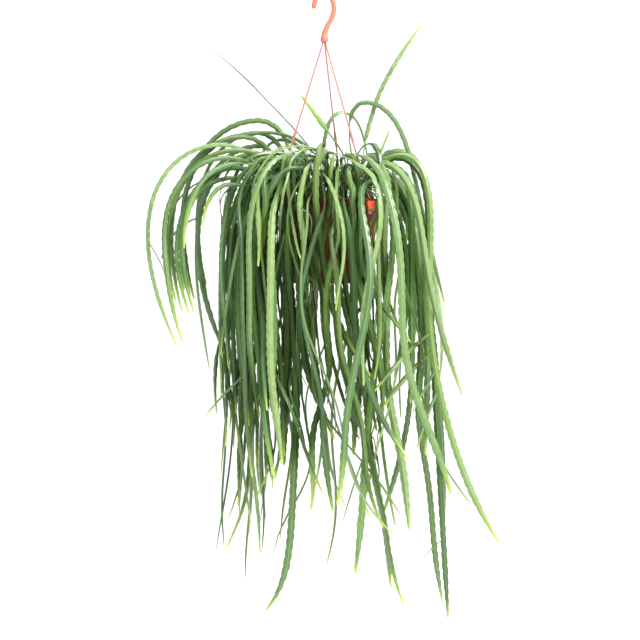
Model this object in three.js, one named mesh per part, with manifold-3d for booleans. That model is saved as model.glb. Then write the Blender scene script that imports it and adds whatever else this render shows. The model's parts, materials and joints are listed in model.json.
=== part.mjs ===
// Lepismium bolivianum in a hanging pot: a hook with three legs, a pot of soil,
// and clumps of long flat notched stems that arch over the rim and hang down.
// Millimetres, +Z up. The origin is the underside of the hook's crown, where the hook rests on its rail.
// +X is the viewer's right and -Y faces the viewer.

import * as THREE from 'three';
import { mergeVertices } from 'three/addons/utils/BufferGeometryUtils.js';
import Module from 'manifold-3d';

const wasm = await Module();
wasm.setup();

// Fit between pieces that touch
const GAP = 0.3;

// Hook
const HOOK_ROD = 3.25;
const HOOK_CROWN = [
  [-13.3, -14.3],
  [-10.6, -4.4],
  [0, HOOK_ROD],
  [9.6, -4.4],
  [12.7, -17.5],
  [9.4, -30],
  [3.4, -41],
  [0.4, -50],
];
const HOOK_SIDES = 8;
const HOOK_STEPS = 18;
const BULB_TOP = -42;
const BULB_BOTTOM = -61;
const BULB_RADIUS = 5.2;
const BULB_FOOT = 3.6;
const BULB_NECK = 3.85;
const BULB_BEVEL = 4;
const BULB_SHOULDER = 8;
const NOSE_RADIUS = 3.32;
const NOSE_RINGS = 5;

// Pot
const POT_X = 6;
const RIM_Z = -264;
const RIM_RADIUS = 75;
const RIM_THICKNESS = 2.4;
const WALL_TOP_RADIUS = 67;
const RIM_MIDDLE = 70.5;
const BASE_RADIUS = 52;
const POT_HEIGHT = 108;
const WALL = 1.8;
const BASE_BEVEL = 2;
const RIM_BEVEL = 0.8;
const POT_SEGMENTS = 26;
const DRAIN_RADIUS = 4;
const DRAIN_CIRCLE = 32;
const DRAINS = 5;
const HOLE_SIDES = 8;
const CUT = 2;

// Legs, each a strand and a stop block under the rim with a smaller lip below it. A strand's top is cut
// square to it, so its edge stands HEAD_RISE above its middle.
const LEGS = 3;
const FIRST_LEG = -45;
const STRAND = 1.1;
const STRAND_SIDES = 6;
const LEG_CIRCLE = 72.4;
const LEG_HEAD = 1.9;
const LEG_HOLE = 2.1;
const HEAD_RISE = 0.385;
const STRAND_RUN_ON = 1.03;
const STOP_WIDTH = 12;
const STOP_DEPTH = 7;
const STOP_HEIGHT = 13;
const STOP_OUT = 0.8;
const LIP_WIDTH = 9;
const LIP_DEPTH = 4.2;
const LIP_HEIGHT = 3.9;

// Soil
const SOIL_Z = RIM_Z - 12;
const SOIL_GAP = 0.9;
const PLUG_RADIUS = 4.2;
const PLUG_SIDES = 5;
const PLUG_DEPTH = 12;
const PLUG_TOP = 5;
const PLUG_HOLE = PLUG_RADIUS + GAP / Math.cos(Math.PI / PLUG_SIDES);
const ROOT_DISC = 54;

// Colours
const HOOK_COLOR = 0xf5aa84;
const LEG_COLOR = 0xe08a66;
const POT_COLOR = 0x9a3f30;
const SOIL_COLOR = 0x3a2a20;
const GREENS = [0x6f9450, 0x5f8648, 0x7fa15f, 0x54793f, 0x88a868];

// Stems
const CLUMPS = 48;
const STEMS = 127;
const SEED = 7;
const STEP = 8;
const RIDGE = 1.6;
const BACK = 0.7;
const RIDGE_FULL = 2.6;
const TOOTH = 0.15;
const RING_STEPS = 4;
const RING_TURN = 0.52;

// Where the clumps stand: golden-angle places, with each clump near the side its stems hang on
const GOLDEN = 137.508;
const GOLDEN_SHARE = 0.618;
const FIRST_DRAWN = 20;
const LEFTWARD = 17;
const FRONTWARD = 12;
const TRADES = 12;
const CHOSEN_WEIGHT = 3;
const ROOT_NEAREST = 14;
const ROOT_SPREAD = 44;
const ROOT_WANDER = 10;

// Least value and spread of what is drawn for a stem
const DRAWN = {
  out: [22, 46],
  beyond: [40, 54],
  up: [26, 40],
  length: [300, 360],
  lean: [-0.13, 0.22],
  drift: [-0.2, 0.5],
  late: [1.4, 1.6],
  width: [5.4, 5],
  wave: [4, 9],
  period: [170, 170],
  phase: [0, 2 * Math.PI],
  turn: [-0.5, 1],
  twist: [-1, 2],
};
const LONG_BIAS = 1.3;
const LEFT_SHORTER = 70;
const LEFT_LEAN = 0.05;
const FACING = 1.2;

// How a stem's line runs: the launch angles tried, the steepest climb, the waves along it, and how soon it
// is back on the line it would take from the pot's middle. A listed stem comes back fully and waves less.
const LAUNCHES = [0.05, 1.5705];
const HALVINGS = 40;
const STEEPEST = 5;
const FEWEST_STEPS = 8;
const WAVE_RUN = 80;
const SWAY = 0.6;
const SWAY_PACE = 4.1;
const SWAY_PHASE = 1.7;
const CENTRING = 0.5;
const CENTRING_RUN = 160;
const LISTED_CENTRING = 1;
const LISTED_EASE = 0.5;

// A stem is narrow at its root and draws in to its tip
const ROOT_SHARE = 0.4;
const ROOT_RUN = 110;
const TIP_SHARE = 0.36;
const TIP_RUN = 90;

// Clearance between stems, and which stretch of a stem is free to give way
const PASSES = 230;
const REFRESH = 5;
const EASING = 0.6;
const NEAR = 17;
const CELL_ROW = 4096;
const CELL_MIDDLE = 1024;
const TINY = 1e-9;
const ROOM = 1;
const THICK = 2;
const SEGMENT = STEP / 2;
const PAST = 6;
const SLANT = 0.5;
const CROSSING = 0.45;
const PUSH_MOST = 6;
const THIN = 1.7;
const CLEAR = 0.5;
const NARROWEST = 0.3;
const FIT_SPREAD = 3;
const RELIEF = 0.7;
const RELIEF_NEAR = 22;
const RELIEF_ROUNDS = 8;
const ROOTED = 6;
const LOOSENING = 36;
const PARTING = 70;

// Clearance from the rim, the wall, the strands and the stop blocks
const HOLDER_ROOM = 2.5;
const RIM_DROP = 3;
const RIM_BAND = 6;
const RIM_FROM = 14;
const WALL_FROM = 50;
const WALL_EASE = 8;
const WALL_PUSH = 30;
const BELOW_POT = 10;
const STRAND_ROOM = 5.2;
const VIEW_TOP = -200;
const VIEW_BELOW = 24;
const VIEW_PUSH = 10;
const STRAND_VIEW = 3;
const STOP_VIEW = 7;
const STOP_ROOM = 9;

// Each row is an arching stem: direction in degrees, root radius, distance and height of the arch's
// top, how far out it hangs, length, lean and sideways drift of the tail, how late the tail bends, width
const ARCHING = [
  [186, 40, 134, 84, 286, 462, -0.25, 0, 2.2, 7],
  [196, 34, 123, 68, 266, 420, -0.22, 0.03, 2.2, 7],
  [170, 22, 93, 117, 240, 450, -0.18, 0, 2, 7.5],
  [162, 26, 97, 100, 226, 390, -0.2, 0, 2, 7],
  [146, 20, 76, 92, 132, 200, 0, 0, 2, 6.5],
  [205, 36, 122, 60, 232, 270, -0.12, 0, 2, 7],
  [210, 30, 136, 32, 206, 198, -0.12, 0, 2, 6.5],
  [152, 30, 80, 66, 150, 400, -0.1, 0.1, 2, 7],
  [236, 0, 14, 66, 104, 470, -0.1, 0.12, 2, 10],
  [214, 16, 40, 50, 160, 440, -0.1, 0, 2, 9],
  [190, 20, 104, 60, 232, 330, -0.16, -0.06, 2, 7],
  [178, 30, 90, 74, 188, 430, -0.1, 0.06, 2, 7],
  [222, 26, 60, 62, 140, 440, -0.08, -0.02, 2, 8],
  [199, 46, 116, 50, 246, 330, -0.22, 0.04, 2, 7],
  [180, 46, 110, 92, 250, 410, -0.19, 0.05, 2, 7.5],
  [352, 16, 43, 137, 84, 430, 0.24, 0, 1, 8],
  [20, -2, 23, 124, 53, 240, 0.1, 0, 2, 6.5],
  [12, 30, 92, 76, 136, 330, -0.04, 0, 2, 8],
  [338, 30, 92, 70, 138, 612, 0.18, 0, 4, 9],
  [350, 40, 84, 66, 132, 704, 0.04, 0, 2, 8],
  [330, 30, 70, 64, 124, 420, -0.04, 0.05, 2, 10],
  [318, 30, 56, 54, 104, 600, -0.02, -0.1, 1.5, 11],
  [20, 40, 80, 66, 134, 400, 0.02, 0, 2, 8],
  [300, 4, 24, 58, 94, 470, -0.06, 0, 2, 11],
  [312, 10, 70, 74, 104, 234, -0.24, 0, 2, 8],
  [256, 10, 26, 62, 88, 370, 0, 0.26, 3, 10],
  [294, 20, 40, 44, 86, 520, 0.04, 0.1, 2, 10],
  [246, 10, 24, 60, 96, 540, 0, 0.2, 2, 11],
  [228, 20, 36, 58, 120, 480, 0, 0.06, 2, 10],
  [243, 30, 40, 56, 90, 652, 0, -0.08, 12, 10],
  [292, 30, 40, 56, 80, 620, 0, 0.1, 2, 12],
  [310, 30, 50, 60, 96, 560, 0.02, 0.1, 2, 11],
  [188, 30, 116, 76, 258, 380, -0.2, 0, 2, 7],
  [192, 24, 112, 58, 240, 360, -0.2, 0, 2, 7],
  [174, 34, 100, 96, 246, 400, -0.2, 0, 2, 7.5],
  [183, 20, 92, 68, 206, 420, -0.24, 0, 2, 9],
  [166, 30, 90, 84, 214, 360, -0.16, 0, 2, 7],
  [233, -4, 14, 66, 92, 500, 0, 0, 2, 12],
  [226, 2, 20, 62, 112, 430, 0, 0.04, 2, 11],
  [240, 4, 16, 62, 84, 540, 0, 0.12, 2, 9],
  [250, 4, 10, 62, 80, 450, 0, 0.18, 2, 10],
  [262, 6, 20, 62, 84, 500, 0, -0.14, 2, 10],
  [276, 0, 14, 60, 88, 440, 0, 0.14, 2, 9],
  [218, 6, 30, 58, 100, 470, 0, 0.1, 2, 8],
  [208, 10, 40, 70, 112, 440, 0, 0.15, 2, 8],
  [190, 12, 56, 74, 148, 436, -0.02, 0.06, 2, 8],
  [203, 16, 64, 66, 158, 400, -0.05, 0.02, 2, 7],
  [282, 10, 60, 50, 92, 400, 0, 0.14, 1, 11],
  [303, 24, 46, 52, 90, 440, 0, 0.06, 2, 9],
  [272, 14, 44, 40, 86, 470, 0, 0.16, 1.5, 9],
];

// Each row is a young shoot that still stands up: direction, root radius, launch angle, length,
// bend radius, width
const SHOOTS = [
  [356, 8, 73, 262, 350, 7],
  [180, -24, 68, 162, 500, 9],
  [174, -6, 66, 262, 300, 2.4],
  [8, 12, 62, 122, 700, 5],
  [176, 10, 66, 96, 300, 5],
];

// Each row is a side branch: its parent's place in ARCHING, how far along the parent it starts,
// direction, launch angle, length, bend radius, width
const BRANCHES = [
  [18, 352, 214, -30, 114, 300, 8],
  [18, 370, 217, -34, 104, 300, 8],
  [18, 399, 214, -42, 66, 120, 6.5],
  [18, 421, 220, -50, 84, 110, 7],
  [19, 596, 190, -30, 44, 60, 4],
  [9, 376, 190, -40, 70, 220, 5.5],
  [0, 330, 20, -50, 60, 60, 5],
  [11, 230, 200, -10, 80, 50, 5],
  [3, 250, 190, -20, 80, 60, 5],
];

const radians = THREE.MathUtils.degToRad;

// Park-Miller draw, so that every run places the same stems
const DRAW_FACTOR = 16807;
const DRAW_RANGE = 2147483647;

function randoms(seed) {
  let state = seed;
  return () => {
    state = (state * DRAW_FACTOR) % DRAW_RANGE;
    return (state - 1) / (DRAW_RANGE - 1);
  };
}

// Solids

function solidOf(geometry) {
  const bare = geometry.clone();
  bare.deleteAttribute('normal');
  bare.deleteAttribute('uv');
  const welded = mergeVertices(bare, 1e-5);
  return new wasm.Manifold(new wasm.Mesh({
    numProp: 3,
    vertProperties: new Float32Array(welded.attributes.position.array),
    triVerts: new Uint32Array(welded.index.array),
  }));
}

function geometryOf(solid) {
  const mesh = solid.getMesh();
  const geometry = new THREE.BufferGeometry();
  geometry.setAttribute('position', new THREE.BufferAttribute(mesh.vertProperties, 3));
  geometry.setIndex(new THREE.BufferAttribute(mesh.triVerts, 1));
  geometry.computeVertexNormals();
  return geometry;
}

// A body of revolution about Z from points of radius and height, drawn upwards on its outside
function turned(points, segments) {
  const profile = points.map(([radius, z]) => new THREE.Vector2(radius, z));
  const geometry = new THREE.LatheGeometry(profile, segments);
  geometry.rotateX(Math.PI / 2);
  return solidOf(geometry);
}

function piece(name, solid, color, roughness) {
  const material = new THREE.MeshStandardMaterial({ color, roughness, metalness: 0 });
  const mesh = new THREE.Mesh(geometryOf(solid), material);
  mesh.name = name;
  return mesh;
}

// Hanger

function circle(radius, sides) {
  const outline = new THREE.Shape();
  outline.absarc(0, 0, radius, 0, 2 * Math.PI, false);
  return new THREE.Shape(outline.getPoints(sides / 2).slice(0, sides));
}

function hook() {
  const line = new THREE.CatmullRomCurve3(HOOK_CROWN.map(([x, z]) => new THREE.Vector3(x, 0, z)));
  const rod = new THREE.ExtrudeGeometry(circle(HOOK_ROD, HOOK_SIDES), {
    extrudePath: line,
    steps: HOOK_STEPS,
    curveSegments: HOOK_SIDES,
  });
  const nose = new THREE.SphereGeometry(NOSE_RADIUS, HOOK_SIDES, NOSE_RINGS);
  nose.translate(HOOK_CROWN[0][0], 0, HOOK_CROWN[0][1]);
  const bulb = turned([
    [0, BULB_BOTTOM],
    [BULB_FOOT, BULB_BOTTOM],
    [BULB_RADIUS, BULB_BOTTOM + BULB_BEVEL],
    [BULB_RADIUS, BULB_TOP - BULB_SHOULDER],
    [BULB_NECK, BULB_TOP],
    [0, BULB_TOP],
  ], HOOK_SIDES);
  return solidOf(rod).add(solidOf(nose)).add(bulb);
}

function legFoot(leg) {
  const angle = radians(FIRST_LEG + leg * 360 / LEGS);
  const x = POT_X + LEG_CIRCLE * Math.cos(angle);
  return new THREE.Vector3(x, LEG_CIRCLE * Math.sin(angle), RIM_Z - RIM_THICKNESS / 2);
}

function legHead(leg) {
  const foot = legFoot(leg);
  const head = new THREE.Vector3(foot.x, foot.y, 0).normalize().multiplyScalar(LEG_HEAD);
  return head.setZ(BULB_BOTTOM - GAP - HEAD_RISE);
}

// A strand pulled straight between the bulb and the rim, with the stop block that holds up the rim
function hangerLeg(leg) {
  const head = legHead(leg);
  const foot = legFoot(leg);
  const end = foot.clone().sub(head).multiplyScalar(STRAND_RUN_ON).add(head);
  const strand = new THREE.ExtrudeGeometry(circle(STRAND, STRAND_SIDES), {
    extrudePath: new THREE.LineCurve3(head, end),
    steps: 1,
    curveSegments: STRAND_SIDES,
  });
  const block = new THREE.BoxGeometry(STOP_DEPTH, STOP_WIDTH, STOP_HEIGHT);
  const lip = new THREE.BoxGeometry(LIP_DEPTH, LIP_WIDTH, LIP_HEIGHT);
  lip.translate(0, 0, -(STOP_HEIGHT + LIP_HEIGHT) / 2);
  const turn = FIRST_LEG + leg * 360 / LEGS;
  const outX = STOP_OUT * Math.cos(radians(turn));
  const outY = STOP_OUT * Math.sin(radians(turn));
  const blockZ = RIM_Z - RIM_THICKNESS - GAP - STOP_HEIGHT / 2;
  const stop = solidOf(block).add(solidOf(lip))
    .rotate([0, 0, turn])
    .translate([foot.x + outX, foot.y + outY, blockZ]);
  return solidOf(strand).add(stop);
}

// Pot and soil

function upright(radius, bottom, top, sides, x, y) {
  const geometry = new THREE.CylinderGeometry(radius, radius, top - bottom, sides);
  geometry.rotateX(Math.PI / 2);
  geometry.translate(x, y, (top + bottom) / 2);
  return solidOf(geometry);
}

function wallRadius(z) {
  const share = (RIM_Z - z) / POT_HEIGHT;
  return WALL_TOP_RADIUS + (BASE_RADIUS - WALL_TOP_RADIUS) * share;
}

function pot() {
  const base = RIM_Z - POT_HEIGHT;
  let body = turned([
    [0, base],
    [BASE_RADIUS - BASE_BEVEL, base],
    [BASE_RADIUS, base + BASE_BEVEL],
    [wallRadius(RIM_Z - RIM_THICKNESS), RIM_Z - RIM_THICKNESS],
    [RIM_RADIUS - RIM_BEVEL, RIM_Z - RIM_THICKNESS],
    [RIM_RADIUS, RIM_Z - RIM_THICKNESS / 2],
    [RIM_RADIUS - RIM_BEVEL, RIM_Z],
    [WALL_TOP_RADIUS - WALL, RIM_Z],
    [BASE_RADIUS - WALL, base + 2 * WALL],
    [BASE_RADIUS - 2 * WALL, base + WALL],
    [0, base + WALL],
  ], POT_SEGMENTS);
  for (let leg = 0; leg < LEGS; leg += 1) {
    const foot = legFoot(leg);
    const under = RIM_Z - RIM_THICKNESS - CUT;
    body = body.subtract(upright(LEG_HOLE, under, RIM_Z + CUT, HOLE_SIDES, foot.x - POT_X, foot.y));
  }
  for (let drain = 0; drain < DRAINS; drain += 1) {
    const angle = radians(drain * 360 / DRAINS);
    const x = DRAIN_CIRCLE * Math.cos(angle);
    const y = DRAIN_CIRCLE * Math.sin(angle);
    body = body.subtract(upright(DRAIN_RADIUS, base - CUT, base + WALL + CUT, HOLE_SIDES, x, y));
  }
  return body.translate([POT_X, 0, 0]);
}

function soil(holes) {
  const floor = RIM_Z - POT_HEIGHT + WALL + GAP;
  const inside = (z) => wallRadius(z) - WALL - SOIL_GAP;
  let body = turned([
    [0, floor],
    [BASE_RADIUS - 2 * WALL - SOIL_GAP, floor],
    [inside(floor + 2 * WALL), floor + 2 * WALL],
    [inside(SOIL_Z), SOIL_Z],
    [0, SOIL_Z],
  ], POT_SEGMENTS);
  for (const [x, y] of holes) {
    body = body.subtract(upright(PLUG_HOLE, SOIL_Z - PLUG_DEPTH - GAP, SOIL_Z + CUT, PLUG_SIDES, x, y));
  }
  return body.translate([POT_X, 0, 0]);
}

// Stems

// Launch angle and bend radius of an evenly strong hanging curve that climbs a height over a distance
function climb(distance, height) {
  let [low, high] = LAUNCHES;
  for (let halving = 0; halving < HALVINGS; halving += 1) {
    const angle = (low + high) / 2;
    if (-Math.log(Math.cos(angle)) / angle < height / distance) {
      low = angle;
    } else {
      high = angle;
    }
  }
  return { launch: low, bend: distance / low };
}

function archingStem([azimuth, root, out, up, reach, length, lean, drift, late, width]) {
  return { azimuth, root, out, up, reach, length, lean, drift, late, width, isListed: true };
}

function shootStem([azimuth, root, launch, length, bend, width]) {
  const angle = radians(launch);
  const out = bend * angle;
  const up = -bend * Math.log(Math.cos(angle));
  return { azimuth, root, out, up, bend, length, width, lean: 0, drift: 0, late: 2, isListed: true };
}

// A shoot that stands on another stem
function branchStem([parent, place, azimuth, launch, length, bend, width], listed) {
  const shoot = shootStem([azimuth, 0, launch, length, bend, width]);
  return { ...shoot, parent: listed[parent], place, clump: listed[parent].clump, footSide: 0 };
}

// The rest of the plant, drawn all round the pot and a little thicker on the left and in front
function drawnStem(index, draw) {
  const pick = (name, bias = 1) => DRAWN[name][0] + DRAWN[name][1] * draw() ** bias;
  const even = (index * GOLDEN + FIRST_DRAWN) % 360;
  const azimuth = even + LEFTWARD * Math.sin(radians(even)) - FRONTWARD * Math.cos(radians(even));
  const leftness = 0.5 - 0.5 * Math.cos(radians(azimuth));
  const out = pick('out');
  const reach = out + pick('beyond');
  const up = pick('up');
  const length = pick('length', LONG_BIAS) - LEFT_SHORTER * leftness;
  const lean = pick('lean') - LEFT_LEAN * leftness;
  const drift = pick('drift');
  const late = pick('late');
  return { azimuth, root: null, out, up, reach, length, lean, drift, late };
}

function rootHoles() {
  return Array.from({ length: CLUMPS }, (_, index) => {
    const angle = radians((index * GOLDEN) % 360);
    const radius = ROOT_DISC * Math.sqrt((index + 0.5) / CLUMPS);
    return [radius * Math.cos(angle), radius * Math.sin(angle)];
  });
}

// Neighbours by direction share a clump
function groupStems(stems, draw) {
  stems.sort((a, b) => a.azimuth - b.azimuth);
  return Array.from({ length: CLUMPS }, (_, index) => {
    const members = stems.filter((_stem, place) => Math.floor(place * CLUMPS / stems.length) === index);
    const wanted = members.filter((stem) => stem.root !== null).map((stem) => stem.root);
    const middle = members.reduce((sum, stem) => sum + stem.azimuth, 0) / members.length;
    const angle = radians(middle + ROOT_WANDER * (draw() - 0.5));
    const spread = (index * GOLDEN_SHARE) % 1;
    const radius = wanted.length ? Math.min(...wanted) : ROOT_NEAREST + ROOT_SPREAD * spread;
    members.forEach((stem) => {
      stem.clump = index;
    });
    const weight = wanted.length ? CHOSEN_WEIGHT : 1;
    return { index, members, weight, wantX: radius * Math.cos(angle), wantY: radius * Math.sin(angle) };
  });
}

// Clumps trade holes as long as that brings the two of them nearer to where they want to stand
function plantClumps(clumps, holes) {
  const miss = (clump, hole) => (
    clump.weight * ((holes[hole][0] - clump.wantX) ** 2 + (holes[hole][1] - clump.wantY) ** 2)
  );
  clumps.forEach((clump) => {
    clump.hole = clump.index;
  });
  for (let round = 0; round < TRADES; round += 1) {
    for (const a of clumps) {
      for (const b of clumps) {
        const gain = miss(a, a.hole) + miss(b, b.hole) - miss(a, b.hole) - miss(b, a.hole);
        if (gain > 1e-6) [a.hole, b.hole] = [b.hole, a.hole];
      }
    }
  }
  for (const clump of clumps) {
    [clump.x, clump.y] = holes[clump.hole];
    for (const stem of clump.members) {
      const angle = radians(stem.azimuth);
      stem.foot = new THREE.Vector3(POT_X + clump.x, clump.y, SOIL_Z);
      stem.footOut = clump.x * Math.cos(angle) + clump.y * Math.sin(angle);
      stem.footSide = clump.y * Math.cos(angle) - clump.x * Math.sin(angle);
    }
  }
}

function dressStem(stem, draw) {
  const pick = (name) => DRAWN[name][0] + DRAWN[name][1] * draw();
  stem.width = stem.width ?? pick('width');
  const ease = stem.isListed ? LISTED_EASE : 1;
  stem.wave = ease * pick('wave');
  stem.period = pick('period');
  stem.phase = pick('phase');
  stem.turn = ease * pick('turn') + FACING * Math.cos(radians(stem.azimuth));
  stem.twist = ease * pick('twist');
}

// Centre line of a stem before its neighbours push it: up and over its arch, then down
function centreLine(stem) {
  const out = new THREE.Vector3(Math.cos(radians(stem.azimuth)), Math.sin(radians(stem.azimuth)), 0);
  const side = new THREE.Vector3(-out.y, out.x, 0);
  const isShoot = stem.bend !== undefined;
  const startOut = stem.isListed ? stem.root : stem.footOut;
  const distance = isShoot ? stem.out : Math.max(stem.up / STEEPEST, stem.out - startOut);
  const rise = isShoot ? { launch: stem.out / stem.bend, bend: stem.bend } : climb(distance, stem.up);
  const fallBend = isShoot ? stem.bend : (stem.reach - stem.out) / (Math.PI / 2);
  const top = rise.bend * Math.asinh(Math.tan(rise.launch));
  const hanging = Math.max(1, stem.length - top);
  const centring = stem.isListed ? LISTED_CENTRING : CENTRING;
  const missed = stem.isListed && !stem.parent ? stem.root - stem.footOut : 0;
  const count = Math.max(FEWEST_STEPS, Math.round(stem.length / STEP));
  const points = [];
  for (let index = 0; index <= count; index += 1) {
    const along = stem.length * index / count;
    const past = along - top;
    const bend = past < 0 ? rise.bend : fallBend;
    const angle = Math.atan(Math.sinh(past / bend));
    const hang = Math.max(0, past);
    const tail = hanging * (hang / hanging) ** stem.late;
    const ramp = along / (along + WAVE_RUN);
    const swing = stem.wave * Math.sin(2 * Math.PI * along / stem.period + stem.phase);
    const sway = SWAY * stem.wave * Math.sin(SWAY_PACE * along / stem.period + SWAY_PHASE * stem.phase);
    const centred = centring * stem.footSide * Math.min(1, along * centring / CENTRING_RUN / CENTRING);
    const returned = missed * Math.min(1, along / CENTRING_RUN);
    const outward = distance + bend * angle + stem.lean * tail + sway * ramp + returned;
    const sideways = stem.drift * tail + swing * ramp - centred;
    points.push(stem.foot.clone()
      .addScaledVector(out, outward)
      .addScaledVector(side, sideways)
      .setZ(stem.foot.z + stem.up + bend * Math.log(Math.cos(angle))));
  }
  return points;
}

function standOnParent(stem) {
  const { parent, place } = stem;
  stem.parentPoint = Math.round(place / parent.length * (parent.line.length - 1));
  stem.foot = parent.line[stem.parentPoint];
}

function halfWidth(stem, along) {
  const root = Math.min(1, ROOT_SHARE + along / ROOT_RUN);
  const tip = Math.min(1, TIP_SHARE + (stem.length - along) / TIP_RUN);
  return stem.width / 2 * root * tip;
}

function pointsOf(stem) {
  return stem.line.map((start, index) => {
    const along = stem.length * index / (stem.line.length - 1);
    const half = halfWidth(stem, along);
    const loose = Math.min(1, Math.max(0, (along - ROOTED) / LOOSENING));
    const [shift, push, ahead] = [new THREE.Vector3(), new THREE.Vector3(), new THREE.Vector3()];
    const [flat, square] = [new THREE.Vector3(), new THREE.Vector3()];
    return { stem, along, half, loose, start, now: start.clone(), shift, push, ahead, flat, square, fit: 1 };
  });
}

// The way along the stem, the way across its flat side, and the way square to that side
function aim(chain) {
  const last = chain.length - 1;
  const { stem } = chain[0];
  const span = chain[last].now.clone().sub(chain[0].now);
  const across = new THREE.Vector3(-span.y, span.x, 0).normalize();
  chain.forEach((point, index) => {
    const [next, previous] = [chain[Math.min(last, index + 1)], chain[Math.max(0, index - 1)]];
    point.ahead.subVectors(next.now, previous.now).normalize();
    across.addScaledVector(point.ahead, -across.dot(point.ahead)).normalize();
    point.flat.copy(across).applyAxisAngle(point.ahead, stem.turn + stem.twist * index / last);
    point.square.crossVectors(point.ahead, point.flat);
  });
}

// How far a stem's section, and a piece of the stem, reach along a direction
function reachAcross(point, way, thick = THICK) {
  return point.half * Math.abs(point.flat.dot(way)) + thick * Math.abs(point.square.dot(way));
}

function reachAlong(point, way, thick) {
  return reachAcross(point, way, thick) + SEGMENT * Math.abs(point.ahead.dot(way));
}

// Two stems part square to both where they cross, and otherwise off a flat side or an edge of either
function waysApart(a, b) {
  const cross = new THREE.Vector3().crossVectors(a.ahead, b.ahead);
  const crossing = cross.length();
  if (crossing > CROSSING) return [cross.divideScalar(crossing)];
  return [a.square, b.square, a.flat, b.flat]
    .filter((way) => Math.abs(a.ahead.dot(way)) < SLANT && Math.abs(b.ahead.dot(way)) < SLANT)
    .map((way) => way.clone());
}

function mayPush(a, b) {
  if (a.stem === b.stem) return false;
  return a.stem.clump !== b.stem.clump || (a.along > PARTING && b.along > PARTING);
}

// Pairs of points of two stems that come near each other, found with a grid of cells
function nearPairs(points, thick) {
  const cells = new Map();
  const pairs = [];
  const key = (x, y, z) => (x * CELL_ROW + y) * CELL_ROW + z;
  points.forEach((b) => {
    const [x, y, z] = b.now.toArray().map((value) => Math.floor(value / NEAR) + CELL_MIDDLE);
    for (let dx = -1; dx <= 1; dx += 1) {
      for (let dy = -1; dy <= 1; dy += 1) {
        for (let dz = -1; dz <= 1; dz += 1) {
          for (const a of cells.get(key(x + dx, y + dy, z + dz)) ?? []) {
            if (mayPush(a, b) && a.now.distanceTo(b.now) < NEAR) pairs.push(pairOf(a, b, thick));
          }
        }
      }
    }
    const home = key(x, y, z);
    if (!cells.has(home)) cells.set(home, []);
    cells.get(home).push(b);
  });
  return pairs;
}

function pairOf(a, b, thick) {
  const ways = waysApart(a, b).map((way) => {
    const wide = a.half * Math.abs(a.flat.dot(way)) + b.half * Math.abs(b.flat.dot(way));
    return { way, wide, need: reachAlong(a, way, thick) + reachAlong(b, way, thick) };
  });
  const aheadOfA = PAST + reachAlong(b, a.ahead, thick);
  const aheadOfB = PAST + reachAlong(a, b.ahead, thick);
  return { a, b, ways, aheadOfA, aheadOfB };
}

// Whether the two points lie beside each other, and not one further along than the other
function areBeside({ a, b, aheadOfA, aheadOfB }, between) {
  return Math.abs(between.dot(a.ahead)) <= aheadOfA && Math.abs(between.dot(b.ahead)) <= aheadOfB;
}

// Two stems that are too close part along the way that needs the least
function pushStems(pairs) {
  const between = new THREE.Vector3();
  for (const pair of pairs) {
    const { a, b, ways } = pair;
    between.subVectors(a.now, b.now);
    let least = Infinity;
    let best = null;
    for (const { way, need } of ways) {
      const short = need + ROOM - Math.abs(between.dot(way));
      if (short < least) [least, best] = [short, way];
    }
    const loose = a.loose + b.loose;
    if (best && least > 0 && loose > 0 && areBeside(pair, between)) {
      const amount = Math.min(PUSH_MOST, least) / loose * (between.dot(best) < 0 ? -1 : 1);
      a.push.addScaledVector(best, amount * a.loose);
      b.push.addScaledVector(best, -amount * b.loose);
    }
  }
}

// What keeps clear of a stem: it reaches room past the stem's own half, towards the stem
function pushFrom(point, away, distance, room) {
  const way = away.divideScalar(distance);
  const short = reachAcross(point, way) + room - distance;
  if (short > 0) point.push.addScaledVector(way, short * point.loose);
}

// The rim, the pot's wall, the legs and the stop blocks push the stems away
function pushFromHolder(point, legs) {
  const { now, push, loose } = point;
  const x = now.x - POT_X;
  const radius = Math.max(1, Math.hypot(x, now.y));
  const outward = new THREE.Vector3(x / radius, now.y / radius, 0);
  if (point.along > RIM_FROM) {
    const fromRim = outward.clone().multiplyScalar(radius - RIM_MIDDLE).setZ(now.z - RIM_Z + RIM_DROP);
    pushFrom(point, fromRim, fromRim.length() + TINY, HOLDER_ROOM + RIM_BAND);
  }
  const below = Math.min(1, Math.max(0, (RIM_Z - now.z) / WALL_EASE));
  if (below > 0 && now.z > RIM_Z - POT_HEIGHT - BELOW_POT && point.along > WALL_FROM) {
    const wall = Math.max(wallRadius(now.z), RIM_RADIUS - Math.max(0, RIM_Z - RIM_BAND - now.z));
    const short = wall + reachAcross(point, outward) + HOLDER_ROOM - radius;
    push.addScaledVector(outward, Math.min(WALL_PUSH, Math.max(0, short)) * below * loose);
  }
  for (const { head, span, stop } of legs) {
    const share = now.clone().sub(head).dot(span) / span.lengthSq();
    const near = head.clone().addScaledVector(span, Math.min(1, Math.max(0, share)));
    const fromStrand = now.clone().sub(near);
    pushFrom(point, fromStrand, fromStrand.length() + TINY, STRAND_ROOM);
    const fromStop = now.clone().sub(stop);
    pushFrom(point, fromStop, fromStop.length() + TINY, STOP_ROOM);
  }
  pushFromView(point, legs[0]);
}

// Stems part in front of the front leg's foot
function pushFromView(point, { head, span }) {
  const { now, push, loose } = point;
  const share = now.clone().sub(head).dot(span) / span.lengthSq();
  const near = head.clone().addScaledVector(span, Math.min(1, Math.max(0, share)));
  const beside = now.x - near.x;
  if (now.z > VIEW_TOP || now.z < RIM_Z - VIEW_BELOW || now.y > near.y) return;
  const room = now.z < RIM_Z + VIEW_BELOW / 2 ? STOP_VIEW : STRAND_VIEW;
  const short = reachAcross(point, new THREE.Vector3(1, 0, 0)) + room - Math.abs(beside);
  push.x += (beside < 0 ? -1 : 1) * Math.min(VIEW_PUSH, Math.max(0, short)) * loose;
}

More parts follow.
